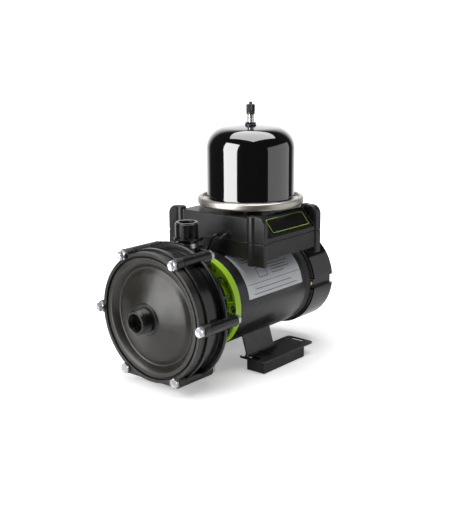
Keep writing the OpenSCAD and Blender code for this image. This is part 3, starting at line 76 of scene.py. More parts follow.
def ranged(tree, source=(0, 1), target=(0, 1), interpolation="LINEAR"):
    made = node_of(tree, "ShaderNodeMapRange", interpolation_type=interpolation)
    made.inputs["From Min"].default_value, made.inputs["From Max"].default_value = source
    made.inputs["To Min"].default_value, made.inputs["To Max"].default_value = target
    return made


wall_from_to, wall_glow, room_glow = (-0.93, -0.6), 1.1, 0.03
world = bpy.data.worlds.new("studio")
bpy.context.scene.world = world
world.use_nodes = True
tree = world.node_tree
tree.nodes.clear()
direction = node_of(tree, "ShaderNodeTexCoord")
towards_camera = node_of(tree, "ShaderNodeVectorMath", operation="DOT_PRODUCT")
towards_camera.inputs[1].default_value = (away.x, away.y, 0)
room = ranged(tree, wall_from_to, (wall_glow, room_glow), "SMOOTHSTEP")
lit = node_of(tree, "ShaderNodeBackground", Color=(1, 1, 1, 1))
seen = node_of(tree, "ShaderNodeBackground", Color=(1, 1, 1, 1), Strength=1.0)
path = node_of(tree, "ShaderNodeLightPath")
choice = node_of(tree, "ShaderNodeMixShader")
chain(tree, direction.outputs["Generated"], towards_camera.inputs[0],
      towards_camera.outputs["Value"], room.inputs["Value"], room.outputs["Result"], lit.inputs["Strength"],
      path.outputs["Is Camera Ray"], choice.inputs["Fac"], lit.outputs[0], choice.inputs[1],
      seen.outputs[0], choice.inputs[2],
      choice.outputs[0], node_of(tree, "ShaderNodeOutputWorld").inputs["Surface"])


def soft_box(name, place, aim, width, height, power):
    lamp = bpy.data.lights.new(name, "AREA")
    lamp.shape = "RECTANGLE"
    lamp.size, lamp.size_y, lamp.energy = width, height, power
    holder = bpy.data.objects.new(name, lamp)
    facing = (place - aim).to_track_quat("Z", "Y").to_matrix().to_4x4()
    holder.matrix_world = Matrix.Translation(place) @ facing
    bpy.context.scene.collection.objects.link(holder)


middle = Vector((0, 0.15, 0.06))
left_place = middle - 0.78 * level + 0.55 * away + Vector((0, 0, 0.08))
right_place = middle + 1.18 * level + 0.21 * away
soft_box("box_left", left_place, middle, width=0.7, height=1.1, power=15)
soft_box("box_right", right_place, middle, width=1.7, height=1.0, power=4)
soft_box("box_top", middle + Vector((0, 0.1, 1.1)), middle, width=1.2, height=1.2, power=16)

floor_z, under_feet, floor_size = -78.5 * mm, 0.2 * mm, 12
bpy.ops.mesh.primitive_plane_add(size=floor_size, location=(0, 0, floor_z - under_feet))
floor = bpy.context.object
floor.name = "floor"
paper = bpy.data.materials.new("white_paper")
paper.use_nodes = True
tree = paper.node_tree
tree.nodes.clear()
where = tree.nodes.new("ShaderNodeTexCoord")
reach = node_of(tree, "ShaderNodeVectorMath", operation="DISTANCE")
reach.inputs[1].default_value = (middle.x, middle.y, 0)
shadow_from_to, shadow_glow, paper_from_to = (0.22, 0.6), (0.34, 1.0), (0.2, 0.42)
shadow_fades = ranged(tree, shadow_from_to, shadow_glow, "SMOOTHSTEP")
paper_ends = ranged(tree, paper_from_to, interpolation="SMOOTHSTEP")
matt = node_of(tree, "ShaderNodeBsdfDiffuse", Color=(0.9, 0.9, 0.9, 1))
glow = node_of(tree, "ShaderNodeEmission", Color=(1, 1, 1, 1))
for_camera = node_of(tree, "ShaderNodeAddShader")
for_others = node_of(tree, "ShaderNodeMixShader")
nothing = node_of(tree, "ShaderNodeBsdfTransparent")
path = node_of(tree, "ShaderNodeLightPath")
choice = node_of(tree, "ShaderNodeMixShader")
chain(tree, where.outputs["Object"], reach.inputs[0], reach.outputs["Value"], shadow_fades.inputs["Value"],
      shadow_fades.outputs["Result"], glow.inputs["Strength"], matt.outputs[0], for_camera.inputs[0],
      glow.outputs[0], for_camera.inputs[1], reach.outputs["Value"], paper_ends.inputs["Value"],
      paper_ends.outputs["Result"], for_others.inputs["Fac"], matt.outputs[0], for_others.inputs[1],
      nothing.outputs[0], for_others.inputs[2], path.outputs["Is Camera Ray"], choice.inputs["Fac"],
      for_others.outputs[0], choice.inputs[1], for_camera.outputs[0], choice.inputs[2],
      choice.outputs[0], node_of(tree, "ShaderNodeOutputMaterial").inputs["Surface"])
floor.data.materials.append(paper)

view = bpy.context.scene.view_settings
view.view_transform = "Standard"


# Moulded plastic: every black, green or cream moulding has the fine grain of its spark-eroded tool.
# The grain, the painted edge highlight and the uneven sheen are groups that each finish sets in its own way.
def group_of(name, inputs, outputs):
    group = bpy.data.node_groups.new(name, "ShaderNodeTree")
    for label, kind, value in inputs:
        socket = group.interface.new_socket(label, in_out="INPUT", socket_type=kind)
        socket.default_value = value
    for label, kind in outputs:
        group.interface.new_socket(label, in_out="OUTPUT", socket_type=kind)
    return group, group.nodes.new("NodeGroupInput"), group.nodes.new("NodeGroupOutput")


grain, given, put_out = group_of(
    "moulded_grain",
    [("Size mm", "NodeSocketFloat", 0.4), ("Sheen from", "NodeSocketFloat", 0.3),
     ("Sheen to", "NodeSocketFloat", 0.4)],
    [("Height", "NodeSocketFloat"), ("Roughness", "NodeSocketFloat")])
place = grain.nodes.new("ShaderNodeTexCoord")
per_metre = node_of(grain, "ShaderNodeMath", operation="DIVIDE")
per_metre.inputs[0].default_value = 1 / mm
fine = node_of(grain, "ShaderNodeTexNoise", Detail=3.0, Roughness=0.6)
cloud = node_of(grain, "ShaderNodeTexNoise", Scale=38.0, Detail=4.0, Roughness=0.55)
sheen = ranged(grain, (0.32, 0.68))
chain(grain, given.outputs["Size mm"], per_metre.inputs[1], per_metre.outputs[0], fine.inputs["Scale"],
      place.outputs["Object"], fine.inputs["Vector"], place.outputs["Object"], cloud.inputs["Vector"],
      cloud.outputs["Fac"], sheen.inputs["Value"], given.outputs["Sheen from"], sheen.inputs["To Min"],
      given.outputs["Sheen to"], sheen.inputs["To Max"], fine.outputs["Fac"], put_out.inputs["Height"],
      sheen.outputs["Result"], put_out.inputs["Roughness"])

# Painted edge highlight: a lighter colour laid on the convex edges and broken up by noise, standing in for light
# glinting on rounded edges.
painted_edges, given, put_out = group_of(
    "painted_edge_highlight",
    [("Colour", "NodeSocketColor", (0.05, 0.05, 0.05, 1)),
     ("Highlight colour", "NodeSocketColor", (0.2, 0.2, 0.2, 1)), ("Amount", "NodeSocketFloat", 0.5)],
    [("Colour", "NodeSocketColor"), ("Mask", "NodeSocketFloat")])
place = painted_edges.nodes.new("ShaderNodeTexCoord")
shape = painted_edges.nodes.new("ShaderNodeNewGeometry")
edges = ranged(painted_edges, (0.51, 0.6))
patchy = node_of(painted_edges, "ShaderNodeTexNoise", Scale=160.0, Detail=5.0, Roughness=0.65)
broken = node_of(painted_edges, "ShaderNodeMath", operation="MULTIPLY")
measure = node_of(painted_edges, "ShaderNodeMath", operation="MULTIPLY", use_clamp=True)
paint = node_of(painted_edges, "ShaderNodeMix", data_type="RGBA")
chain(painted_edges, shape.outputs["Pointiness"], edges.inputs["Value"],
      place.outputs["Object"], patchy.inputs["Vector"], edges.outputs["Result"], broken.inputs[0],
      patchy.outputs["Fac"], broken.inputs[1],
      broken.outputs[0], measure.inputs[0], given.outputs["Amount"], measure.inputs[1],
      measure.outputs[0], paint.inputs[0], given.outputs["Colour"], paint.inputs[6],
      given.outputs["Highlight colour"], paint.inputs[7], paint.outputs[2], put_out.inputs["Colour"],
      measure.outputs[0], put_out.inputs["Mask"])


def finish_of(name, metallic=0.0, **settings):
    material = bpy.data.materials.new(name)
    material.use_nodes = True
    surface = material.node_tree.nodes["Principled BSDF"]
    surface.inputs["Metallic"].default_value = metallic
    for key, value in settings.items():
        surface.inputs[key.replace("_", " ")].default_value = value
    return material, material.node_tree, surface


def moulded(name, colour, highlight_colour, sheen, grain_mm=0.35, depth=0.12, highlight_amount=0.8):
    material, tree, surface = finish_of(name)
    texture = tree.nodes.new("ShaderNodeGroup")
    texture.node_tree = grain
    texture.inputs["Size mm"].default_value = grain_mm
    texture.inputs["Sheen from"].default_value, texture.inputs["Sheen to"].default_value = sheen
    # Each finish made here gets a painted edge highlight: a lighter colour on its convex edges.
    edge_highlight = tree.nodes.new("ShaderNodeGroup")
    edge_highlight.node_tree = painted_edges
    edge_highlight.inputs["Colour"].default_value = (*colour, 1)
    edge_highlight.inputs["Highlight colour"].default_value = (*highlight_colour, 1)
    edge_highlight.inputs["Amount"].default_value = highlight_amount
    relief = node_of(tree, "ShaderNodeBump", Strength=depth, Distance=grain_mm * mm)
    chain(tree, texture.outputs["Height"], relief.inputs["Height"],
          relief.outputs[0], surface.inputs["Normal"],
          texture.outputs["Roughness"], surface.inputs["Roughness"],
          edge_highlight.outputs["Colour"], surface.inputs["Base Color"])
    return material


# Pump head: a glass-filled nylon cover and body, both black, bolted together round the chamber.
# The edges that the tool left are eased. Both ports carry a parallel pipe thread up to the mouth, and the
# inlet has a shallower one inside.
def copy_of(node, name):
    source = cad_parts[node]
    piece = bpy.data.objects.new(name, source.data.copy())
    bpy.context.scene.collection.objects.link(piece)
    shape = bmesh.new()
    shape.from_mesh(piece.data)
    bmesh.ops.remove_doubles(shape, verts=shape.verts, dist=2e-6)
    bmesh.ops.dissolve_limit(shape, angle_limit=math.radians(1), verts=shape.verts, edges=shape.edges)
    shape.to_mesh(piece.data)
    shape.free()
    return piece


sharp_edge = math.radians(32)


def ease_edges(piece, radius, segments=2):
    soften = piece.modifiers.new("eased", "BEVEL")
    soften.width, soften.segments = radius * mm, segments
    soften.limit_method, soften.angle_limit = "ANGLE", sharp_edge
    soften.use_clamp_overlap = False
    lay_flat = piece.modifiers.new("even", "WEIGHTED_NORMAL")
    lay_flat.keep_sharp = True
    piece.data.polygons.foreach_set("use_smooth", [True] * len(piece.data.polygons))
    return settle(piece)


def settle(piece):
    bpy.context.view_layer.update()
    made = bpy.data.meshes.new_from_object(piece.evaluated_get(bpy.context.evaluated_depsgraph_get()))
    old = piece.data
    piece.modifiers.clear()
    made.name = piece.name
    piece.data = made
    bpy.data.meshes.remove(old)
    return piece


def dress(piece, material, body, slot, *nodes):
    piece.data.materials.clear()
    piece.data.materials.append(material)
    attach(piece, body)
    if nodes:
        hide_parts(*nodes)
    return piece


def shown(name, shape, crease):
    mesh = bpy.data.meshes.new(name)
    bmesh.ops.recalc_face_normals(shape, faces=shape.faces)
    shape.to_mesh(mesh)
    shape.free()
    mesh.polygons.foreach_set("use_smooth", [True] * len(mesh.polygons))
    mesh.set_sharp_from_angle(angle=math.radians(crease))
    piece = bpy.data.objects.new(name, mesh)
    bpy.context.scene.collection.objects.link(piece)
    return piece


def helix_sleeve(name, crest, root, inner, length, pitch, around=96, per_pitch=8, run_out=0.6):
    """A closed sleeve along +Z from 0 to length, whose outside is a thread that runs out at both ends."""
    rings = round(length / pitch * per_pitch)
    shape = bmesh.new()
    rows = []
    for i in range(rings + 1):
        z = length * i / rings
        fade = min(1, z / (run_out * pitch), (length - z) / (run_out * pitch))
        row = []
        for k in range(around):
            phase = (z / pitch - k / around) % 1
            ridge = min(1, max(0, 1.4 - 1.9 * abs(2 * phase - 1)))
            r = root + (crest - root) * ridge * max(0, fade)
            a = 2 * math.pi * k / around
            row.append(shape.verts.new((r * math.cos(a) * mm, r * math.sin(a) * mm, z * mm)))
        rows.append(row)
    turns = [2 * math.pi * k / around for k in range(around)]
    for z in (length, 0):
        rows.append([shape.verts.new(Vector((inner * math.cos(a), inner * math.sin(a), z)) * mm)
                     for a in turns])
    rows.append(rows[0])
    for low, high in zip(rows, rows[1:]):
        for k in range(around):
            n = (k + 1) % around
            shape.faces.new((low[k], low[n], high[n], high[k]))
    return shown(name, shape, crease=50)


def narrow_spigot(piece, centre, axis, span, crest, root, on_crest=0.03, past_end=0.01):
    centre, axis = Vector(centre), Vector(axis)
    for vert in piece.data.vertices:
        offset = vert.co / mm - centre
        along = offset.dot(axis)
        across = offset - along * axis
        if abs(across.length - crest) < on_crest and span[0] - past_end <= along <= span[1] + past_end:
            vert.co = (centre + along * axis + across * (root / crest)) * mm


lay_along_shaft = Matrix.Rotation(math.radians(-90), 4, "X")
pump_black = moulded("pump_black", (0.006, 0.006, 0.0062), (0.06, 0.06, 0.058), (0.17, 0.28),
                     depth=0.05, highlight_amount=0.4)
cover_black = moulded("cover_black", (0.014, 0.0128, 0.0105), (0.08, 0.076, 0.068), (0.26, 0.42),
                      grain_mm=0.9, depth=0.07, highlight_amount=0.2)
thread_crest, thread_root, thread_pitch, sleeve_wall = 13.22, 12.06, 1.814, 0.5
sleeve_inner = thread_root - sleeve_wall

inlet_length, inlet_thread_start, inlet_thread_length = 15, 0.3, 14.6
cover = copy_of("front_cover", "front_cover_piece")
narrow_spigot(cover, (0, 0, 0), (0, 1, 0), (0, inlet_length), thread_crest, thread_root)
dress(ease_edges(cover, 0.55), cover_black, "housing", "pump_plastic", "front_cover")
inlet_thread = helix_sleeve("inlet_thread", thread_crest, thread_root, sleeve_inner, inlet_thread_length,
                            thread_pitch)
inlet_thread.data.transform(lay_along_shaft)
inlet_thread.data.transform(Matrix.Translation((0, inlet_thread_start * mm, 0)))
dress(inlet_thread, pump_black, "housing", "pump_plastic")

bore_crest, bore_root, bore_wall, bore_start, bore_depth = 9.05, 9.48, 0.35, 1.2, 12.6
bore_thread = helix_sleeve("inlet_bore_thread", bore_crest, bore_root, bore_root + bore_wall, bore_depth,
                           thread_pitch)
bore_thread.data.transform(lay_along_shaft)
bore_thread.data.transform(Matrix.Translation((0, bore_start * mm, 0)))
dress(bore_thread, pump_black, "housing", "pump_plastic")

outlet_y, outlet_foot_z, outlet_top_z, outlet_thread_z, outlet_thread_length = 82, 77, 94, 77.1, 16.6
body = copy_of("pump_body", "pump_body_piece")
narrow_spigot(body, (0, outlet_y, 0), (0, 0, 1), (outlet_foot_z, outlet_top_z), thread_crest, thread_root)
dress(ease_edges(body, 0.4), pump_black, "housing", "pump_plastic", "pump_body")
outlet_thread = helix_sleeve("outlet_thread", thread_crest, thread_root, sleeve_inner, outlet_thread_length,
                             thread_pitch)
outlet_thread.data.transform(Matrix.Translation((0, outlet_y * mm, outlet_thread_z * mm)))
dress(outlet_thread, pump_black, "housing", "pump_plastic")


# Cover bolts: six plated hexagon screws with nuts, which clamp the cover to the body through the long tubes.
# The heads are forged with a chamfered crown, and the thread shows past each nut.
def skinned(name, rows, joined=False, crease=40):
    shape = bmesh.new()
    rings = [[shape.verts.new(Vector(point) * mm) for point in row] for row in rows]
    for low, high in zip(rings, rings[1:] + (rings[:1] if joined else [])):
        for k in range(len(low)):
            n = (k + 1) % len(low)
            shape.faces.new((low[k], low[n], high[n], high[k]))
    if not joined:
        shape.faces.new(rings[0])
        shape.faces.new(rings[-1])
    return shown(name, shape, crease)


def hexagon_row(flats, z, slope, around=48):
    row = []
    for k in range(around):
        a = 2 * math.pi * k / around
        r = flats / 2 / math.cos((a + math.pi / 6) % (math.pi / 3) - math.pi / 6)
        row.append((r * math.cos(a), r * math.sin(a), z + slope * (r - flats / 2)))
    return row


def round_row(r, z, around=48):
    turns = [2 * math.pi * k / around for k in range(around)]
    return [(r * math.cos(a), r * math.sin(a), z) for a in turns]


def thread_rows(crest, root, start, end, pitch, around=48, per_pitch=6):
    rows = []
    count = round((end - start) / pitch * per_pitch)
    for i in range(count + 1):
        z = start + (end - start) * i / count
        fade = min(1, (z - start) / pitch, (end - z) / pitch)
        ridges = [abs(2 * ((z / pitch - k / around) % 1) - 1) for k in range(around)]
        radii = [crest + (root - crest) * ridge * max(0, fade) for ridge in ridges]
        rows.append([(r * math.cos(2 * math.pi * k / around), r * math.sin(2 * math.pi * k / around), z)
                     for k, r in enumerate(radii)])
    return rows


ring_tree = bpy.data.node_groups.new("ring_of_copies", "GeometryNodeTree")
for label, kind, way in (
        ("Piece", "NodeSocketGeometry", "INPUT"), ("Count", "NodeSocketInt", "INPUT"),
        ("Circle radius", "NodeSocketFloat", "INPUT"), ("Finish", "NodeSocketMaterial", "INPUT"),
        ("Ring", "NodeSocketGeometry", "OUTPUT")):
    ring_tree.interface.new_socket(label, in_out=way, socket_type=kind)
given, put_out = ring_tree.nodes.new("NodeGroupInput"), ring_tree.nodes.new("NodeGroupOutput")
circle = node_of(ring_tree, "GeometryNodeMeshCircle")
which = node_of(ring_tree, "GeometryNodeInputIndex")
step = node_of(ring_tree, "ShaderNodeMath", operation="DIVIDE")
step.inputs[0].default_value = 2 * math.pi
angle = node_of(ring_tree, "ShaderNodeMath", operation="MULTIPLY")
spin = node_of(ring_tree, "ShaderNodeCombineXYZ")
placed = node_of(ring_tree, "GeometryNodeInstanceOnPoints")
real = node_of(ring_tree, "GeometryNodeRealizeInstances")
coated = node_of(ring_tree, "GeometryNodeSetMaterial")
chain(ring_tree, given.outputs["Count"], circle.inputs["Vertices"],
      given.outputs["Circle radius"], circle.inputs["Radius"],
      circle.outputs["Mesh"], placed.inputs["Points"],
      given.outputs["Piece"], placed.inputs["Instance"], given.outputs["Count"], step.inputs[1],
      step.outputs[0], angle.inputs[0], which.outputs[0], angle.inputs[1], angle.outputs[0], spin.inputs["Z"],
      spin.outputs[0], placed.inputs["Rotation"], placed.outputs["Instances"], real.inputs["Geometry"],
      real.outputs["Geometry"], coated.inputs["Geometry"], given.outputs["Finish"], coated.inputs["Material"],
      coated.outputs["Geometry"], put_out.inputs["Ring"])


def repeat(piece, tree, finish, **sizes):
    maker = piece.modifiers.new("copies", "NODES")
    maker.node_group = tree
    named = {item.name: item.identifier for item in tree.interface.items_tree if item.in_out == "INPUT"}
    for label, value in sizes.items():
        maker[named[label.replace("_", " ")]] = value
    maker[named["Finish"]] = finish
    return settle(piece)


marks, given, put_out = group_of(
    "turned_marks",
    [("Place", "NodeSocketVector", (0, 0, 0)), ("Width mm", "NodeSocketFloat", 0.3)],
    [("Height", "NodeSocketFloat")])
parts_of = marks.nodes.new("ShaderNodeSeparateXYZ")
flat = node_of(marks, "ShaderNodeCombineXYZ")
reach = node_of(marks, "ShaderNodeVectorMath", operation="LENGTH")
groove = node_of(marks, "ShaderNodeCombineXYZ")
per_metre = node_of(marks, "ShaderNodeMath", operation="DIVIDE")
per_metre.inputs[0].default_value = 1 / mm
lines = node_of(marks, "ShaderNodeTexNoise", Detail=2.0, Roughness=0.7)
chain(marks, given.outputs["Place"], parts_of.inputs[0], parts_of.outputs["X"], flat.inputs["X"],
      parts_of.outputs["Y"], flat.inputs["Y"], flat.outputs[0], reach.inputs[0],
      reach.outputs["Value"], groove.inputs["X"], parts_of.outputs["Z"], groove.inputs["Y"],
      given.outputs["Width mm"], per_metre.inputs[1],
      per_metre.outputs[0], lines.inputs["Scale"], groove.outputs[0], lines.inputs["Vector"],
      lines.outputs["Fac"], put_out.inputs["Height"])

blotches, given, put_out = group_of(
    "plated_blotches",
    [("Size mm", "NodeSocketFloat", 2.5), ("Light", "NodeSocketColor", (0.8, 0.8, 0.8, 1)),
     ("Dark", "NodeSocketColor", (0.5, 0.5, 0.5, 1))],
    [("Colour", "NodeSocketColor"), ("Roughness", "NodeSocketFloat")])
place = blotches.nodes.new("ShaderNodeTexCoord")
per_metre = node_of(blotches, "ShaderNodeMath", operation="DIVIDE")
per_metre.inputs[0].default_value = 1 / mm
cells = node_of(blotches, "ShaderNodeTexNoise", Detail=6.0, Roughness=0.7)
stretch = ranged(blotches, (0.35, 0.65))
mixed = node_of(blotches, "ShaderNodeMix", data_type="RGBA")
dull = ranged(blotches, target=(0.18, 0.38))
chain(blotches, given.outputs["Size mm"], per_metre.inputs[1], per_metre.outputs[0], cells.inputs["Scale"],
      place.outputs["Object"], cells.inputs["Vector"], cells.outputs["Fac"], stretch.inputs["Value"],
      stretch.outputs["Result"], mixed.inputs[0], given.outputs["Light"], mixed.inputs[6],
      given.outputs["Dark"], mixed.inputs[7], mixed.outputs[2], put_out.inputs["Colour"],
      stretch.outputs["Result"], dull.inputs["Value"], dull.outputs["Result"], put_out.inputs["Roughness"])


def plated(name, light, dark, size=2.5):
    material, tree, surface = finish_of(name, metallic=1.0)
    coat = tree.nodes.new("ShaderNodeGroup")
    coat.node_tree = blotches
    coat.inputs["Size mm"].default_value = size
    coat.inputs["Light"].default_value, coat.inputs["Dark"].default_value = (*light, 1), (*dark, 1)
    chain(tree, coat.outputs["Colour"], surface.inputs["Base Color"], coat.outputs["Roughness"],
          surface.inputs["Roughness"])
    return material


def machined(name, colour, centre, along_shaft, width=0.3, depth=0.15, **settings):
    material, tree, surface = finish_of(name, metallic=1.0, **settings)
    surface.inputs["Base Color"].default_value = (*colour, 1)
    place = tree.nodes.new("ShaderNodeTexCoord")
    centred = node_of(tree, "ShaderNodeMapping")
    centred.inputs["Location"].default_value = [-c * mm for c in centre]
    turned_up = node_of(tree, "ShaderNodeMapping")
    turned_up.inputs["Rotation"].default_value = (math.radians(90) if along_shaft else 0, 0, 0)
    tool = tree.nodes.new("ShaderNodeGroup")
    tool.node_tree = marks
    tool.inputs["Width mm"].default_value = width
    relief = node_of(tree, "ShaderNodeBump", Strength=depth, Distance=0.1 * mm)
    chain(tree, place.outputs["Object"], centred.inputs["Vector"],
          centred.outputs[0], turned_up.inputs["Vector"],
          turned_up.outputs[0], tool.inputs["Place"], tool.outputs["Height"], relief.inputs["Height"],
          relief.outputs[0], surface.inputs["Normal"])
    return material


zinc = plated("bright_zinc", (0.7, 0.71, 0.74), (0.3, 0.31, 0.33), size=1.8)
bolt_circle, head_flats, shank, thread_depth, coarse_pitch = 72.5, 10, 2.9, 0.45, 1.0
head_y, plate_y, thread_y, nut_y, bolt_end = 18, 22, 68, 74, 81
bolts = skinned("cover_bolts_piece", [
    round_row(head_flats * 0.36, head_y + 0.25), round_row(head_flats * 0.46, head_y),
    hexagon_row(head_flats, head_y, 0.58), hexagon_row(head_flats, plate_y - 0.3, -0.1),
    round_row(head_flats * 0.47, plate_y), round_row(shank, plate_y), round_row(shank, thread_y)]
    + thread_rows(shank, shank - thread_depth, thread_y, bolt_end - 0.6, coarse_pitch)
    + [round_row(shank - 0.7, bolt_end)])
nut_end, nut_round, nut_mouth, nut_bore = nut_y + 5, head_flats * 0.46, 3.5, 3.0
nuts = skinned("cover_nuts_piece", [
    round_row(nut_bore, nut_y), round_row(nut_round, nut_y), hexagon_row(head_flats, nut_y, 0.5),
    hexagon_row(head_flats, nut_end, -0.5), round_row(nut_round, nut_end), round_row(nut_mouth, nut_end),
    round_row(nut_bore, nut_end - 0.5)], joined=True)
for fixings, node in ((bolts, "cover_bolts"), (nuts, "cover_nuts")):
    repeat(fixings, ring_tree, zinc, Count=6, Circle_radius=bolt_circle * mm)
    fixings.data.transform(lay_along_shaft)
    dress(fixings, zinc, "housing", "zinc_plate", node)


# Flow sensor: a small black reed housing held to the outlet's neck by a sprung steel clip.
# Its two sheathed leads run under a plated saddle on the green ring and up to the wiring box.
for node, radius, finish, slot in (
        ("sensor_holder", 0.3, pump_black, "pump_plastic"), ("sensor_clip", 0.12, zinc, "zinc_plate"),
        ("lead_saddle", 0.2, zinc, "zinc_plate")):
    dress(ease_edges(copy_of(node, node + "_piece"), radius), finish, "housing", slot, node)
sheath = moulded("lead_sheath", (0.01, 0.01, 0.0105), (0.04, 0.04, 0.04), (0.18, 0.28),
                 grain_mm=0.5, depth=0.04)
soft_rubber = moulded("black_rubber", (0.008, 0.008, 0.008), (0.05, 0.05, 0.05), (0.55, 0.72),
                      grain_mm=0.6, depth=0.25)
lead_thick = 3.2
lead_a_route = [(-2.5, 98.6, 62.7), (-2.5, 98.6, 62.1), (-2.5, 98.9, 59.9), (-2.5, 99.9, 57.9),
                (-2.4, 101.5, 56.3), (-2.5, 103.4, 55.3), (-2.5, 105.5, 54.9), (-2.6, 109.5, 54.9),
                (-2.3, 111.7, 55.4), (-1.8, 113.6, 56.3), (-1.3, 115, 57.6), (-0.4, 116.1, 59.4),
                (0.6, 116.5, 61.2), (4, 116.3, 67.7), (4.8, 116.7, 69.7), (5.6, 117.7, 71.4),
                (6.3, 119.2, 72.7), (6.8, 121.2, 73.6), (7.1, 123.3, 73.9), (7, 129, 74)]
lead_b_route = [(2.5, 98.6, 62.7), (2.5, 98.6, 62.1), (2.5, 98.9, 59.9), (2.5, 99.9, 57.9),
                (2.5, 101.5, 56.3), (2.4, 103.5, 55.3), (2.6, 105.6, 54.9), (2.5, 109.5, 54.9),
                (2.7, 111.6, 55.2), (3.4, 113.6, 56), (4.4, 115.1, 57.2), (5.6, 116.1, 58.6),
                (7.2, 116.5, 60.4), (11.8, 116.4, 65.6), (16.5, 116.3, 70.7), (17.8, 116.8, 72.5),
                (19.1, 117.8, 73.9), (20.1, 119.3, 75), (20.8, 121.1, 75.7), (21.1, 123.5, 76),
                (21, 129, 76)]
for name, route in (("sensor_lead_a", lead_a_route), ("sensor_lead_b", lead_b_route)):
    line = bpy.data.curves.new(name, "CURVE")
    line.dimensions = "3D"
    line.bevel_depth, line.bevel_resolution, line.use_fill_caps = lead_thick / 2 * mm, 5, True
    spline = line.splines.new("POLY")
    spline.points.add(len(route) - 1)
    for point, place in zip(spline.points, route):
        point.co = (*(Vector(place) * mm), 1)
    spline.use_smooth = True
    lead = bpy.data.objects.new(name + "_piece", line)
    bpy.context.scene.collection.objects.link(lead)
    dress(lead, sheath, "housing", "lead_sheath", name)
grommets = ease_edges(copy_of("lead_grommets", "lead_grommets_piece"), 0.2)
dress(grommets, soft_rubber, "housing", "rubber", "lead_grommets")


# Adaptor ring: a lime green moulding between the pump head and the motor, hollowed by pockets.
# Four long plated screws in it draw both end shields onto the motor tube.
lime = moulded("lime_green", (0.36, 0.66, 0.012), (0.6, 0.8, 0.2), (0.32, 0.45), depth=0.1, highlight_amount=0.35)
ring = ease_edges(copy_of("adaptor_ring", "adaptor_ring_piece"), 0.4)
dress(ring, lime, "housing", "green_plastic", "adaptor_ring")
ties = ease_edges(copy_of("tie_bolts", "tie_bolts_piece"), 0.15)
dress(ties, zinc, "housing", "zinc_plate", "tie_bolts")
brass = plated("plain_brass", (0.72, 0.5, 0.22), (0.5, 0.33, 0.13))
tie_circle, tie_flats, tie_bore, tie_round, tie_front, tie_back = 47.7, 7, 2.1, 3.2, 241, 244.2
tie_nuts = skinned("tie_nuts_piece", [
    round_row(tie_bore, tie_front), round_row(tie_round, tie_front), hexagon_row(tie_flats, tie_front, 0.5),
    hexagon_row(tie_flats, tie_back, -0.5), round_row(tie_round, tie_back), round_row(tie_bore, tie_back)],
    joined=True)
repeat(tie_nuts, ring_tree, brass, Count=4, Circle_radius=tie_circle * mm)
tie_nuts.data.transform(lay_along_shaft)
dress(tie_nuts, brass, "housing", "brass", "tie_nuts")


# Motor: a rolled steel tube in satin black paint, with a silver foil label on its right-hand side.
# The label shows a ruled table and a bare square, with no words on it.
motor_paint = moulded("satin_paint", (0.006, 0.006, 0.0068), (0.12, 0.12, 0.12), (0.2, 0.27),
                      grain_mm=1.2, depth=0.012)
tube_front, tube_back, tube_r, tube_inner, tube_round, tube_shoulder = 109, 230, 52.5, 50.3, 0.5, 0.12
tube = skinned("motor_tube_piece", [round_row(r, y, 144) for r, y in (
    (tube_inner, tube_front), (tube_r - tube_round, tube_front),
    (tube_r - tube_shoulder, tube_front + tube_shoulder), (tube_r, tube_front + tube_round),
    (tube_r, tube_back - tube_round), (tube_r - tube_shoulder, tube_back - tube_shoulder),
    (tube_r - tube_round, tube_back), (tube_inner, tube_back))], joined=True)
tube.data.transform(lay_along_shaft)
dress(tube, motor_paint, "housing", "black_steel", "motor_tube")

foil, tree, surface = finish_of("label_foil", metallic=0.35, Roughness=0.34)
chart = tree.nodes.new("ShaderNodeUVMap")
chart.uv_map = "label"
across = tree.nodes.new("ShaderNodeSeparateXYZ")
chain(tree, chart.outputs[0], across.inputs[0])


def band(value, low, high):
    above = node_of(tree, "ShaderNodeMath", operation="GREATER_THAN")
    above.inputs[1].default_value = low
    below = node_of(tree, "ShaderNodeMath", operation="LESS_THAN")
    below.inputs[1].default_value = high
    inside = node_of(tree, "ShaderNodeMath", operation="MULTIPLY")
    chain(tree, value, above.inputs[0], value, below.inputs[0], above.outputs[0], inside.inputs[0],
          below.outputs[0], inside.inputs[1])
    return inside.outputs[0]


def either(first, second, operation="MAXIMUM"):
    joined = node_of(tree, "ShaderNodeMath", operation=operation)
    chain(tree, first, joined.inputs[0], second, joined.inputs[1])
    return joined.outputs[0]


u, v = across.outputs["X"], across.outputs["Y"]
line_thick = 0.012
print_mask = either(band(u, 0.252, 0.26), band(v, 0.02, 0.98), "MULTIPLY")
for u_line, v_from, v_to in (
        (0.06, 0.1, 0.9), (0.15, 0.14, 0.8), (0.36, 0.5, 0.72), (0.42, 0.5, 0.84), (0.48, 0.5, 0.8),
        (0.54, 0.5, 0.84), (0.6, 0.5, 0.76), (0.7, 0.1, 0.9), (0.76, 0.1, 0.7)):
    rule = either(band(u, u_line, u_line + line_thick), band(v, v_from, v_to), "MULTIPLY")
    print_mask = either(print_mask, rule)
for u_from, u_to, v_from, v_to in ((0.34, 0.352, 0.26, 0.42), (0.528, 0.54, 0.26, 0.42),
                                   (0.34, 0.54, 0.26, 0.268), (0.34, 0.54, 0.412, 0.42)):
    print_mask = either(print_mask, either(band(u, u_from, u_to), band(v, v_from, v_to), "MULTIPLY"))
foil_tone = node_of(tree, "ShaderNodeTexNoise", Scale=55.0, Detail=3.0)
tone = node_of(tree, "ShaderNodeMix", data_type="RGBA")
tone.inputs[6].default_value, tone.inputs[7].default_value = (0.55, 0.57, 0.61, 1), (0.7, 0.72, 0.75, 1)
printed = node_of(tree, "ShaderNodeMix", data_type="RGBA")
printed.inputs[7].default_value = (0.03, 0.035, 0.04, 1)
where = tree.nodes.new("ShaderNodeTexCoord")
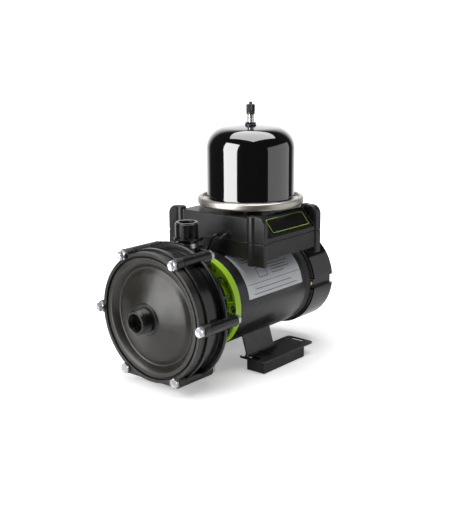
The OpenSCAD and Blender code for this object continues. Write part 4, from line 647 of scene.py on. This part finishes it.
chain(tree, where.outputs["Object"], foil_tone.inputs["Vector"], foil_tone.outputs["Fac"], tone.inputs[0],
      tone.outputs[2], printed.inputs[6], print_mask, printed.inputs[0], printed.outputs[2],
      surface.inputs["Base Color"])
label_from, label_to, label_front, label_back, columns_across = 7, 72, 124, 222, 40
label_out, label_in = tube_r + 0.3, tube_r + 0.02
shape = bmesh.new()
chart_layer = shape.loops.layers.uv.new("label")
columns = []
for i in range(columns_across + 1):
    a = math.radians(label_from + (label_to - label_from) * i / columns_across)
    section = ((label_out, label_front, 0), (label_out, label_back, 1),
               (label_in, label_back, 1), (label_in, label_front, 0))
    points = [Vector((r * math.cos(a), y, r * math.sin(a))) * mm for r, y, t in section]
    columns.append([(shape.verts.new(point), i / columns_across, t) for point, (r, y, t) in zip(points, section)])
for left, rest in zip(columns, columns[1:]):
    for k in range(4):
        corners = (left[k], left[(k + 1) % 4], rest[(k + 1) % 4], rest[k])
        face = shape.faces.new([c[0] for c in corners])
        for loop, corner in zip(face.loops, corners):
            loop[chart_layer].uv = (corner[1], corner[2])
for end in (columns[0], columns[-1]):
    shape.faces.new([c[0] for c in end])
label = shown("rating_label_piece", shape, crease=40)
dress(label, foil, "housing", "label_foil", "rating_label")


# Rear end: a cast aluminium shield in matt black, and the gloss black cowl that covers the cooling fan.
# Brass nuts on the long screws show where the cowl's four channels let air along the motor. Behind the
# channels the casting's rim, in four sectors, and its web close the view.
casting = moulded("black_casting", (0.007, 0.007, 0.007), (0.12, 0.12, 0.12), (0.5, 0.62),
                  grain_mm=0.8, depth=0.3)
shield = ease_edges(copy_of("rear_end_shield", "rear_end_shield_piece"), 0.35)
dress(shield, casting, "housing", "end_casting", "rear_end_shield")
rim_inner, rim_outer, rim_front, rim_back, rim_round = 48.8, 54.2, 240.6, 246, 0.5
rim_middle, rim_half_angle, rim_steps = 45, 37, 24
rim_rows = []
for i in range(rim_steps + 1):
    a = math.radians(rim_middle + rim_half_angle * (2 * i / rim_steps - 1))
    rim_rows.append([(r * math.cos(a), r * math.sin(a), y) for r, y in (
        (rim_inner, rim_front), (rim_outer - rim_round, rim_front), (rim_outer, rim_front + rim_round),
        (rim_outer, rim_back), (rim_inner, rim_back))])
shield_rim = skinned("shield_rim", rim_rows)
repeat(shield_rim, ring_tree, casting, Count=4, Circle_radius=0.0)
shield_rim.data.transform(lay_along_shaft)
dress(shield_rim, casting, "housing", "end_casting")
web_inner, web_front = 41, 244.6
shield_web = skinned("shield_web", [round_row(r, y, 96) for r, y in (
    (web_inner, web_front), (rim_inner, web_front), (rim_inner, rim_back), (web_inner, rim_back))],
    joined=True)
shield_web.data.transform(lay_along_shaft)
dress(shield_web, casting, "housing", "end_casting")
gloss_black = moulded("gloss_moulding", (0.004, 0.004, 0.0045), (0.05, 0.05, 0.05), (0.06, 0.14),
                      depth=0.02, highlight_amount=0.5)
cowl = ease_edges(copy_of("fan_cowl", "fan_cowl_piece"), 0.35)
dress(cowl, gloss_black, "housing", "cowl_plastic", "fan_cowl")


# Feet: pressed and painted steel plates, each with a web up to the motor tube, on black rubber blocks.
# The slots take the screws that hold the pump to its board.
foot_paint = moulded("foot_paint", (0.007, 0.007, 0.0075), (0.14, 0.14, 0.14), (0.26, 0.38),
                     grain_mm=1.0, depth=0.08)
for side in ("right", "left"):
    plate = ease_edges(copy_of("foot_plate_" + side, "foot_plate_%s_piece" % side), 0.35)
    dress(plate, foot_paint, "housing", "black_steel", "foot_plate_" + side)
    block = ease_edges(copy_of("rubber_foot_" + side, "rubber_foot_%s_piece" % side), 0.9, segments=3)
    dress(block, soft_rubber, "housing", "rubber", "rubber_foot_" + side)


# Wiring box: a textured black base and lid held by four dark screws in the corner columns.
# The right-hand slope carries a bare badge plate, framed by a thin printed green line.
box_black = moulded("box_black", (0.007, 0.007, 0.0072), (0.07, 0.07, 0.068), (0.28, 0.4),
                    grain_mm=0.45, depth=0.14)
dark_steel = plated("dark_steel", (0.1, 0.1, 0.11), (0.04, 0.04, 0.045))
for node, radius, segments, finish, slot in (
        ("box_base", 0.8, 3, box_black, "box_plastic"), ("box_lid", 0.9, 3, box_black, "box_plastic"),
        ("lid_screws", 0.12, 2, dark_steel, "black_screw"),
        ("cable_gland", 0.3, 2, box_black, "box_plastic")):
    dress(ease_edges(copy_of(node, node + "_piece"), radius, segments), finish, "housing", slot, node)

badge_mat, tree, surface = finish_of("badge_print", Roughness=0.24, Coat_Weight=0.5)
badge_centre, badge_slope = Vector((59.25, 183, 85)) * mm, math.radians(48.6)
badge_half, line_inset, line_width, corner_r = Vector((10, 35, 0)) * mm, 1.6 * mm, 0.8 * mm, 2 * mm
to_plate = Matrix.Rotation(-badge_slope, 3, "Y")
where = tree.nodes.new("ShaderNodeTexCoord")
laid_flat = node_of(tree, "ShaderNodeMapping")
laid_flat.inputs["Rotation"].default_value = (0, -badge_slope, 0)
laid_flat.inputs["Location"].default_value = -(to_plate @ badge_centre)
level_only = node_of(tree, "ShaderNodeVectorMath", operation="MULTIPLY")
level_only.inputs[1].default_value = (1, 1, 0)
mirrored = node_of(tree, "ShaderNodeVectorMath", operation="ABSOLUTE")
past = node_of(tree, "ShaderNodeVectorMath", operation="SUBTRACT")
to_corner = line_inset + corner_r
past.inputs[1].default_value = (badge_half.x - to_corner, badge_half.y - to_corner, 0)
outside = node_of(tree, "ShaderNodeVectorMath", operation="MAXIMUM")
outside.inputs[1].default_value = (0, 0, 0)
reach = node_of(tree, "ShaderNodeVectorMath", operation="LENGTH")
on_line = node_of(tree, "ShaderNodeMath", operation="COMPARE")
on_line.inputs[1].default_value, on_line.inputs[2].default_value = corner_r, line_width / 2
inked = node_of(tree, "ShaderNodeMix", data_type="RGBA")
plate_black, line_green = (0.006, 0.0068, 0.006, 1), (0.34, 0.5, 0.08, 1)
inked.inputs[6].default_value, inked.inputs[7].default_value = plate_black, line_green
fine_grain = tree.nodes.new("ShaderNodeGroup")
fine_grain.node_tree = grain
relief = node_of(tree, "ShaderNodeBump", Strength=0.04, Distance=0.1 * mm)
chain(tree, where.outputs["Object"], laid_flat.inputs["Vector"], laid_flat.outputs[0], level_only.inputs[0],
      level_only.outputs[0], mirrored.inputs[0], mirrored.outputs[0], past.inputs[0],
      past.outputs[0], outside.inputs[0], outside.outputs[0], reach.inputs[0],
      reach.outputs["Value"], on_line.inputs[0], on_line.outputs[0], inked.inputs[0],
      inked.outputs[2], surface.inputs["Base Color"], fine_grain.outputs["Height"],
      relief.inputs["Height"], relief.outputs[0], surface.inputs["Normal"])
badge = ease_edges(copy_of("badge_plate", "badge_plate_piece"), 0.12)
dress(badge, badge_mat, "housing", "cowl_plastic", "badge_plate")


# Pressure vessel: a deep-drawn steel dome and dish in gloss black, with a rubber diaphragm between their
# flanges. A rolled stainless ring clamps them, and the air valve stands on top under its ribbed cap.
vessel_axis = (0, 191, 0)
stand_on_axis = Matrix.Translation(Vector(vessel_axis) * mm)


def lathed(name, profile, around=160):
    piece = skinned(name, [round_row(r, z, around) for r, z in profile], joined=True, crease=30)
    piece.data.transform(stand_on_axis)
    return piece


def arc(centre_r, centre_z, radius, start, end, steps):
    angles = [math.radians(start + (end - start) * i / steps) for i in range(steps + 1)]
    return [(centre_r + radius * math.cos(a), centre_z + radius * math.sin(a)) for a in angles]


vessel_paint, tree, surface = finish_of("vessel_gloss", Base_Color=(0.0015, 0.0015, 0.0016, 1), IOR=1.7,
                                        Coat_Weight=1.0, Coat_IOR=1.7, Coat_Roughness=0.02)
where = tree.nodes.new("ShaderNodeTexCoord")
drawn = node_of(tree, "ShaderNodeTexNoise", Scale=26.0, Detail=1.0)
peel = node_of(tree, "ShaderNodeTexNoise", Scale=420.0, Detail=2.0)
ripple = node_of(tree, "ShaderNodeBump", Strength=0.5, Distance=0.25 * mm)
skin = node_of(tree, "ShaderNodeBump", Strength=0.12, Distance=0.03 * mm)
dust = ranged(tree, target=(0.04, 0.11))
chain(tree, where.outputs["Object"], drawn.inputs["Vector"], where.outputs["Object"], peel.inputs["Vector"],
      drawn.outputs["Fac"], ripple.inputs["Height"], ripple.outputs[0], skin.inputs["Normal"],
      peel.outputs["Fac"], skin.inputs["Height"], skin.outputs[0], surface.inputs["Normal"],
      drawn.outputs["Fac"], dust.inputs["Value"], dust.outputs["Result"], surface.inputs["Roughness"])
sheet, dome_r, flange_r, dome_foot_z, shoulder_r, shoulder_z = 1.4, 50.3, 59, 104.9, 24, 162.5
crown_angle, stem_hole_r, flare, wall_heights = 82, 3.95, 3, (120, 135, 150)


def dome_side(by):
    crown_slope = math.radians(90 - crown_angle)
    edge_r = dome_r - shoulder_r + (shoulder_r - by) * math.cos(math.radians(crown_angle))
    edge_z = shoulder_z + (shoulder_r - by) * math.sin(math.radians(crown_angle))
    crown_r = edge_r / math.sin(crown_slope)
    start = 90 - math.degrees(crown_slope)
    end = math.degrees(math.acos(stem_hole_r / crown_r))
    crown = arc(0, edge_z - crown_r * math.cos(crown_slope), crown_r, start, end, 16)
    return arc(dome_r - shoulder_r, shoulder_z, shoulder_r - by, 0, crown_angle, 28) + crown[1:]


dome = lathed("vessel_dome_piece",
              [(dome_r - sheet, dome_foot_z), (flange_r, dome_foot_z), (flange_r, dome_foot_z + sheet)]
              + arc(dome_r + flare, dome_foot_z + sheet + flare, flare, 270, 180, 8)
              + [(dome_r, z) for z in wall_heights] + dome_side(0) + dome_side(sheet)[::-1]
              + [(dome_r - sheet, z) for z in wall_heights[::-1]])
dress(dome, vessel_paint, "housing", "vessel_paint", "vessel_dome")
dish = ease_edges(copy_of("vessel_base", "vessel_base_piece"), 0.3)
dress(dish, vessel_paint, "housing", "vessel_paint", "vessel_base")

satin_steel = machined("satin_stainless", (0.6, 0.57, 0.52), vessel_axis, False,
                       width=0.5, depth=0.12, Roughness=0.4)
clamp_r, clamp_low_z, clamp_top_z, clamp_lip_r, clamp_round, lip_round = 60.9, 99.1, 108.1, 55.7, 3, 0.4
seat_z, seat_r, groove_z = dome_foot_z + sheet + 0.1, flange_r + 0.2, 101.8
clamp = lathed("clamp_ring_piece",
               [(clamp_lip_r, clamp_low_z + 1), (clamp_lip_r, clamp_low_z + 0.3),
                (clamp_lip_r + lip_round, clamp_low_z)]
               + arc(clamp_r - clamp_round, clamp_low_z + clamp_round, clamp_round, 270, 360, 10)
               + arc(clamp_r - clamp_round, clamp_top_z - clamp_round, clamp_round, 0, 90, 10)
               + [(clamp_lip_r + lip_round, clamp_top_z), (clamp_lip_r, clamp_top_z - 0.3),
                  (clamp_lip_r, seat_z), (seat_r, seat_z), (seat_r, groove_z),
                  (flange_r - 1, clamp_low_z + 1.4)])
dress(clamp, satin_steel, "housing", "stainless", "clamp_ring")

nickel = machined("bright_nickel", (0.75, 0.74, 0.72), vessel_axis, False,
                  width=0.2, depth=0.1, Roughness=0.16)
stem_crest, stem_root, stem_pitch, stem_bore, stem_flange_r = 3.85, 3.4, 0.8, 1.925, 7.7
stem_foot_z, stem_flange_z, stem_nut_z, stem_thread_z, stem_top_z = 183.3, 186.5, 188.4, 188.5, 206.5
stem = skinned("valve_stem_piece",
               [round_row(stem_bore, stem_foot_z), round_row(stem_flange_r - 0.2, stem_foot_z),
                round_row(stem_flange_r, stem_foot_z + 0.2), round_row(stem_flange_r, stem_flange_z),
                round_row(stem_crest, stem_flange_z), round_row(stem_crest, stem_nut_z)]
               + thread_rows(stem_crest, stem_root, stem_thread_z, stem_top_z - 0.4, stem_pitch)
               + [round_row(stem_root, stem_top_z), round_row(stem_bore, stem_top_z)], joined=True)
collar_r, collar_top_z, nut_flats, nut_top_z, collar_round = 6.5, 189.5, 10.3, 191.8, 0.2
valve_nut = skinned("valve_nut_piece",
                    [round_row(stem_hole_r, stem_nut_z), round_row(collar_r - collar_round, stem_nut_z),
                     round_row(collar_r, stem_nut_z + collar_round),
                     round_row(collar_r, collar_top_z - collar_round),
                     round_row(collar_r - collar_round, collar_top_z),
                     hexagon_row(nut_flats, collar_top_z, 0), hexagon_row(nut_flats, nut_top_z, -0.5),
                     round_row(stem_hole_r + 0.65, nut_top_z),
                     round_row(stem_hole_r, nut_top_z - 0.4)], joined=True)
for piece, finish, slot, node in ((stem, nickel, "nickel", "valve_stem"),
                                  (valve_nut, dark_steel, "black_screw", "valve_nut")):
    piece.data.transform(stand_on_axis)
    dress(piece, finish, "housing", slot, node)

cap_black = moulded("cap_black", (0.014, 0.014, 0.011), (0.12, 0.12, 0.1), (0.32, 0.45),
                    grain_mm=0.25, depth=0.1)
cap_ribs, cap_foot_z, cap_ceiling_z, cap_top_z, nub_top_z = 20, 200.8, 208.1, 212, 214.8


def ribbed_row(r, depth, z, around=160):
    turns = [2 * math.pi * cap_ribs * k / around for k in range(around)]
    heights = [depth * (0.5 + 0.5 * math.cos(a)) ** 2 for a in turns]
    return [(x * (r + rise) / r, y * (r + rise) / r, z)
            for (x, y, z), rise in zip(round_row(r, z, around), heights)]


cap = skinned("valve_cap_piece", [ribbed_row(r, depth, z) for r, depth, z in (
    (4, 0, cap_ceiling_z), (4, 0, cap_foot_z), (4.3, 0, cap_foot_z), (4.65, 0, cap_foot_z + 0.4),
    (4.65, 0, cap_foot_z + 2.8), (4.3, 0.1, cap_foot_z + 3), (4.35, 0.5, cap_foot_z + 3.4),
    (4.35, 0.5, cap_top_z - 1.2), (4.2, 0.3, cap_top_z - 0.5), (3.8, 0, cap_top_z), (1.9, 0, cap_top_z),
    (1.65, 0, cap_top_z + 0.4), (1.6, 0, nub_top_z - 0.7), (1.1, 0, nub_top_z))])
cap.data.transform(stand_on_axis)
dress(cap, cap_black, "cap", "cap_plastic", "valve_cap")


# Inside pieces: the impeller with its seal, the flow float, and the motor's shaft, cores, coils and fan.
# They keep their solids and get the finish of the metal, rubber or plastic that they are made of.
shaft_axis = (0, 0, 0)
impeller_resin = moulded("impeller_resin", (0.55, 0.53, 0.46), (0.7, 0.68, 0.62), (0.35, 0.5),
                         grain_mm=0.6, depth=0.15)
float_orange = moulded("float_orange", (0.72, 0.2, 0.02), (0.85, 0.45, 0.15), (0.3, 0.42))
fan_black = moulded("fan_black", (0.03, 0.03, 0.032), (0.12, 0.12, 0.12), (0.35, 0.5))
board_green = moulded("board_green", (0.01, 0.09, 0.03), (0.3, 0.3, 0.1), (0.25, 0.35),
                      grain_mm=1.5, depth=0.1)
can_white = moulded("can_white", (0.62, 0.62, 0.63), (0.8, 0.8, 0.8), (0.3, 0.4), depth=0.05)
lapped_carbon = moulded("lapped_carbon", (0.02, 0.02, 0.021), (0.05, 0.05, 0.05), (0.15, 0.22),
                        grain_mm=0.2, depth=0.04)
lapped_ceramic = moulded("lapped_ceramic", (0.72, 0.69, 0.6), (0.85, 0.82, 0.75), (0.12, 0.2),
                         grain_mm=0.5, depth=0.04)
ground_steel = machined("ground_steel", (0.58, 0.58, 0.59), shaft_axis, True,
                        width=0.15, depth=0.12, Roughness=0.22)
lamination = machined("stacked_sheet", (0.32, 0.32, 0.34), shaft_axis, True,
                      width=0.5, depth=0.5, Roughness=0.42)
wound_copper = machined("wound_copper", (0.6, 0.24, 0.1), shaft_axis, True,
                        width=0.8, depth=0.8, Roughness=0.35)
for finish, nodes in (
        (impeller_resin, ("impeller", "float_guide")), (float_orange, ("flow_float",)),
        (fan_black, ("cooling_fan",)), (board_green, ("circuit_board",)), (can_white, ("run_capacitor",)),
        (lapped_carbon, ("seal_rotor",)), (lapped_ceramic, ("seal_seat",)), (zinc, ("adaptor_screws",)),
        (ground_steel, ("motor_shaft", "front_bearing", "rear_bearing", "seal_spring", "fan_clip")),
        (lamination, ("stator_core", "rotor_core")), (wound_copper, ("windings",)),
        (soft_rubber, ("cover_o_ring", "diaphragm", "cap_seal")),
        (brass, ("impeller_nut", "vessel_nut", "valve_insert", "valve_pin"))):
    for node in nodes:
        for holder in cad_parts[node].material_slots:
            holder.material = finish
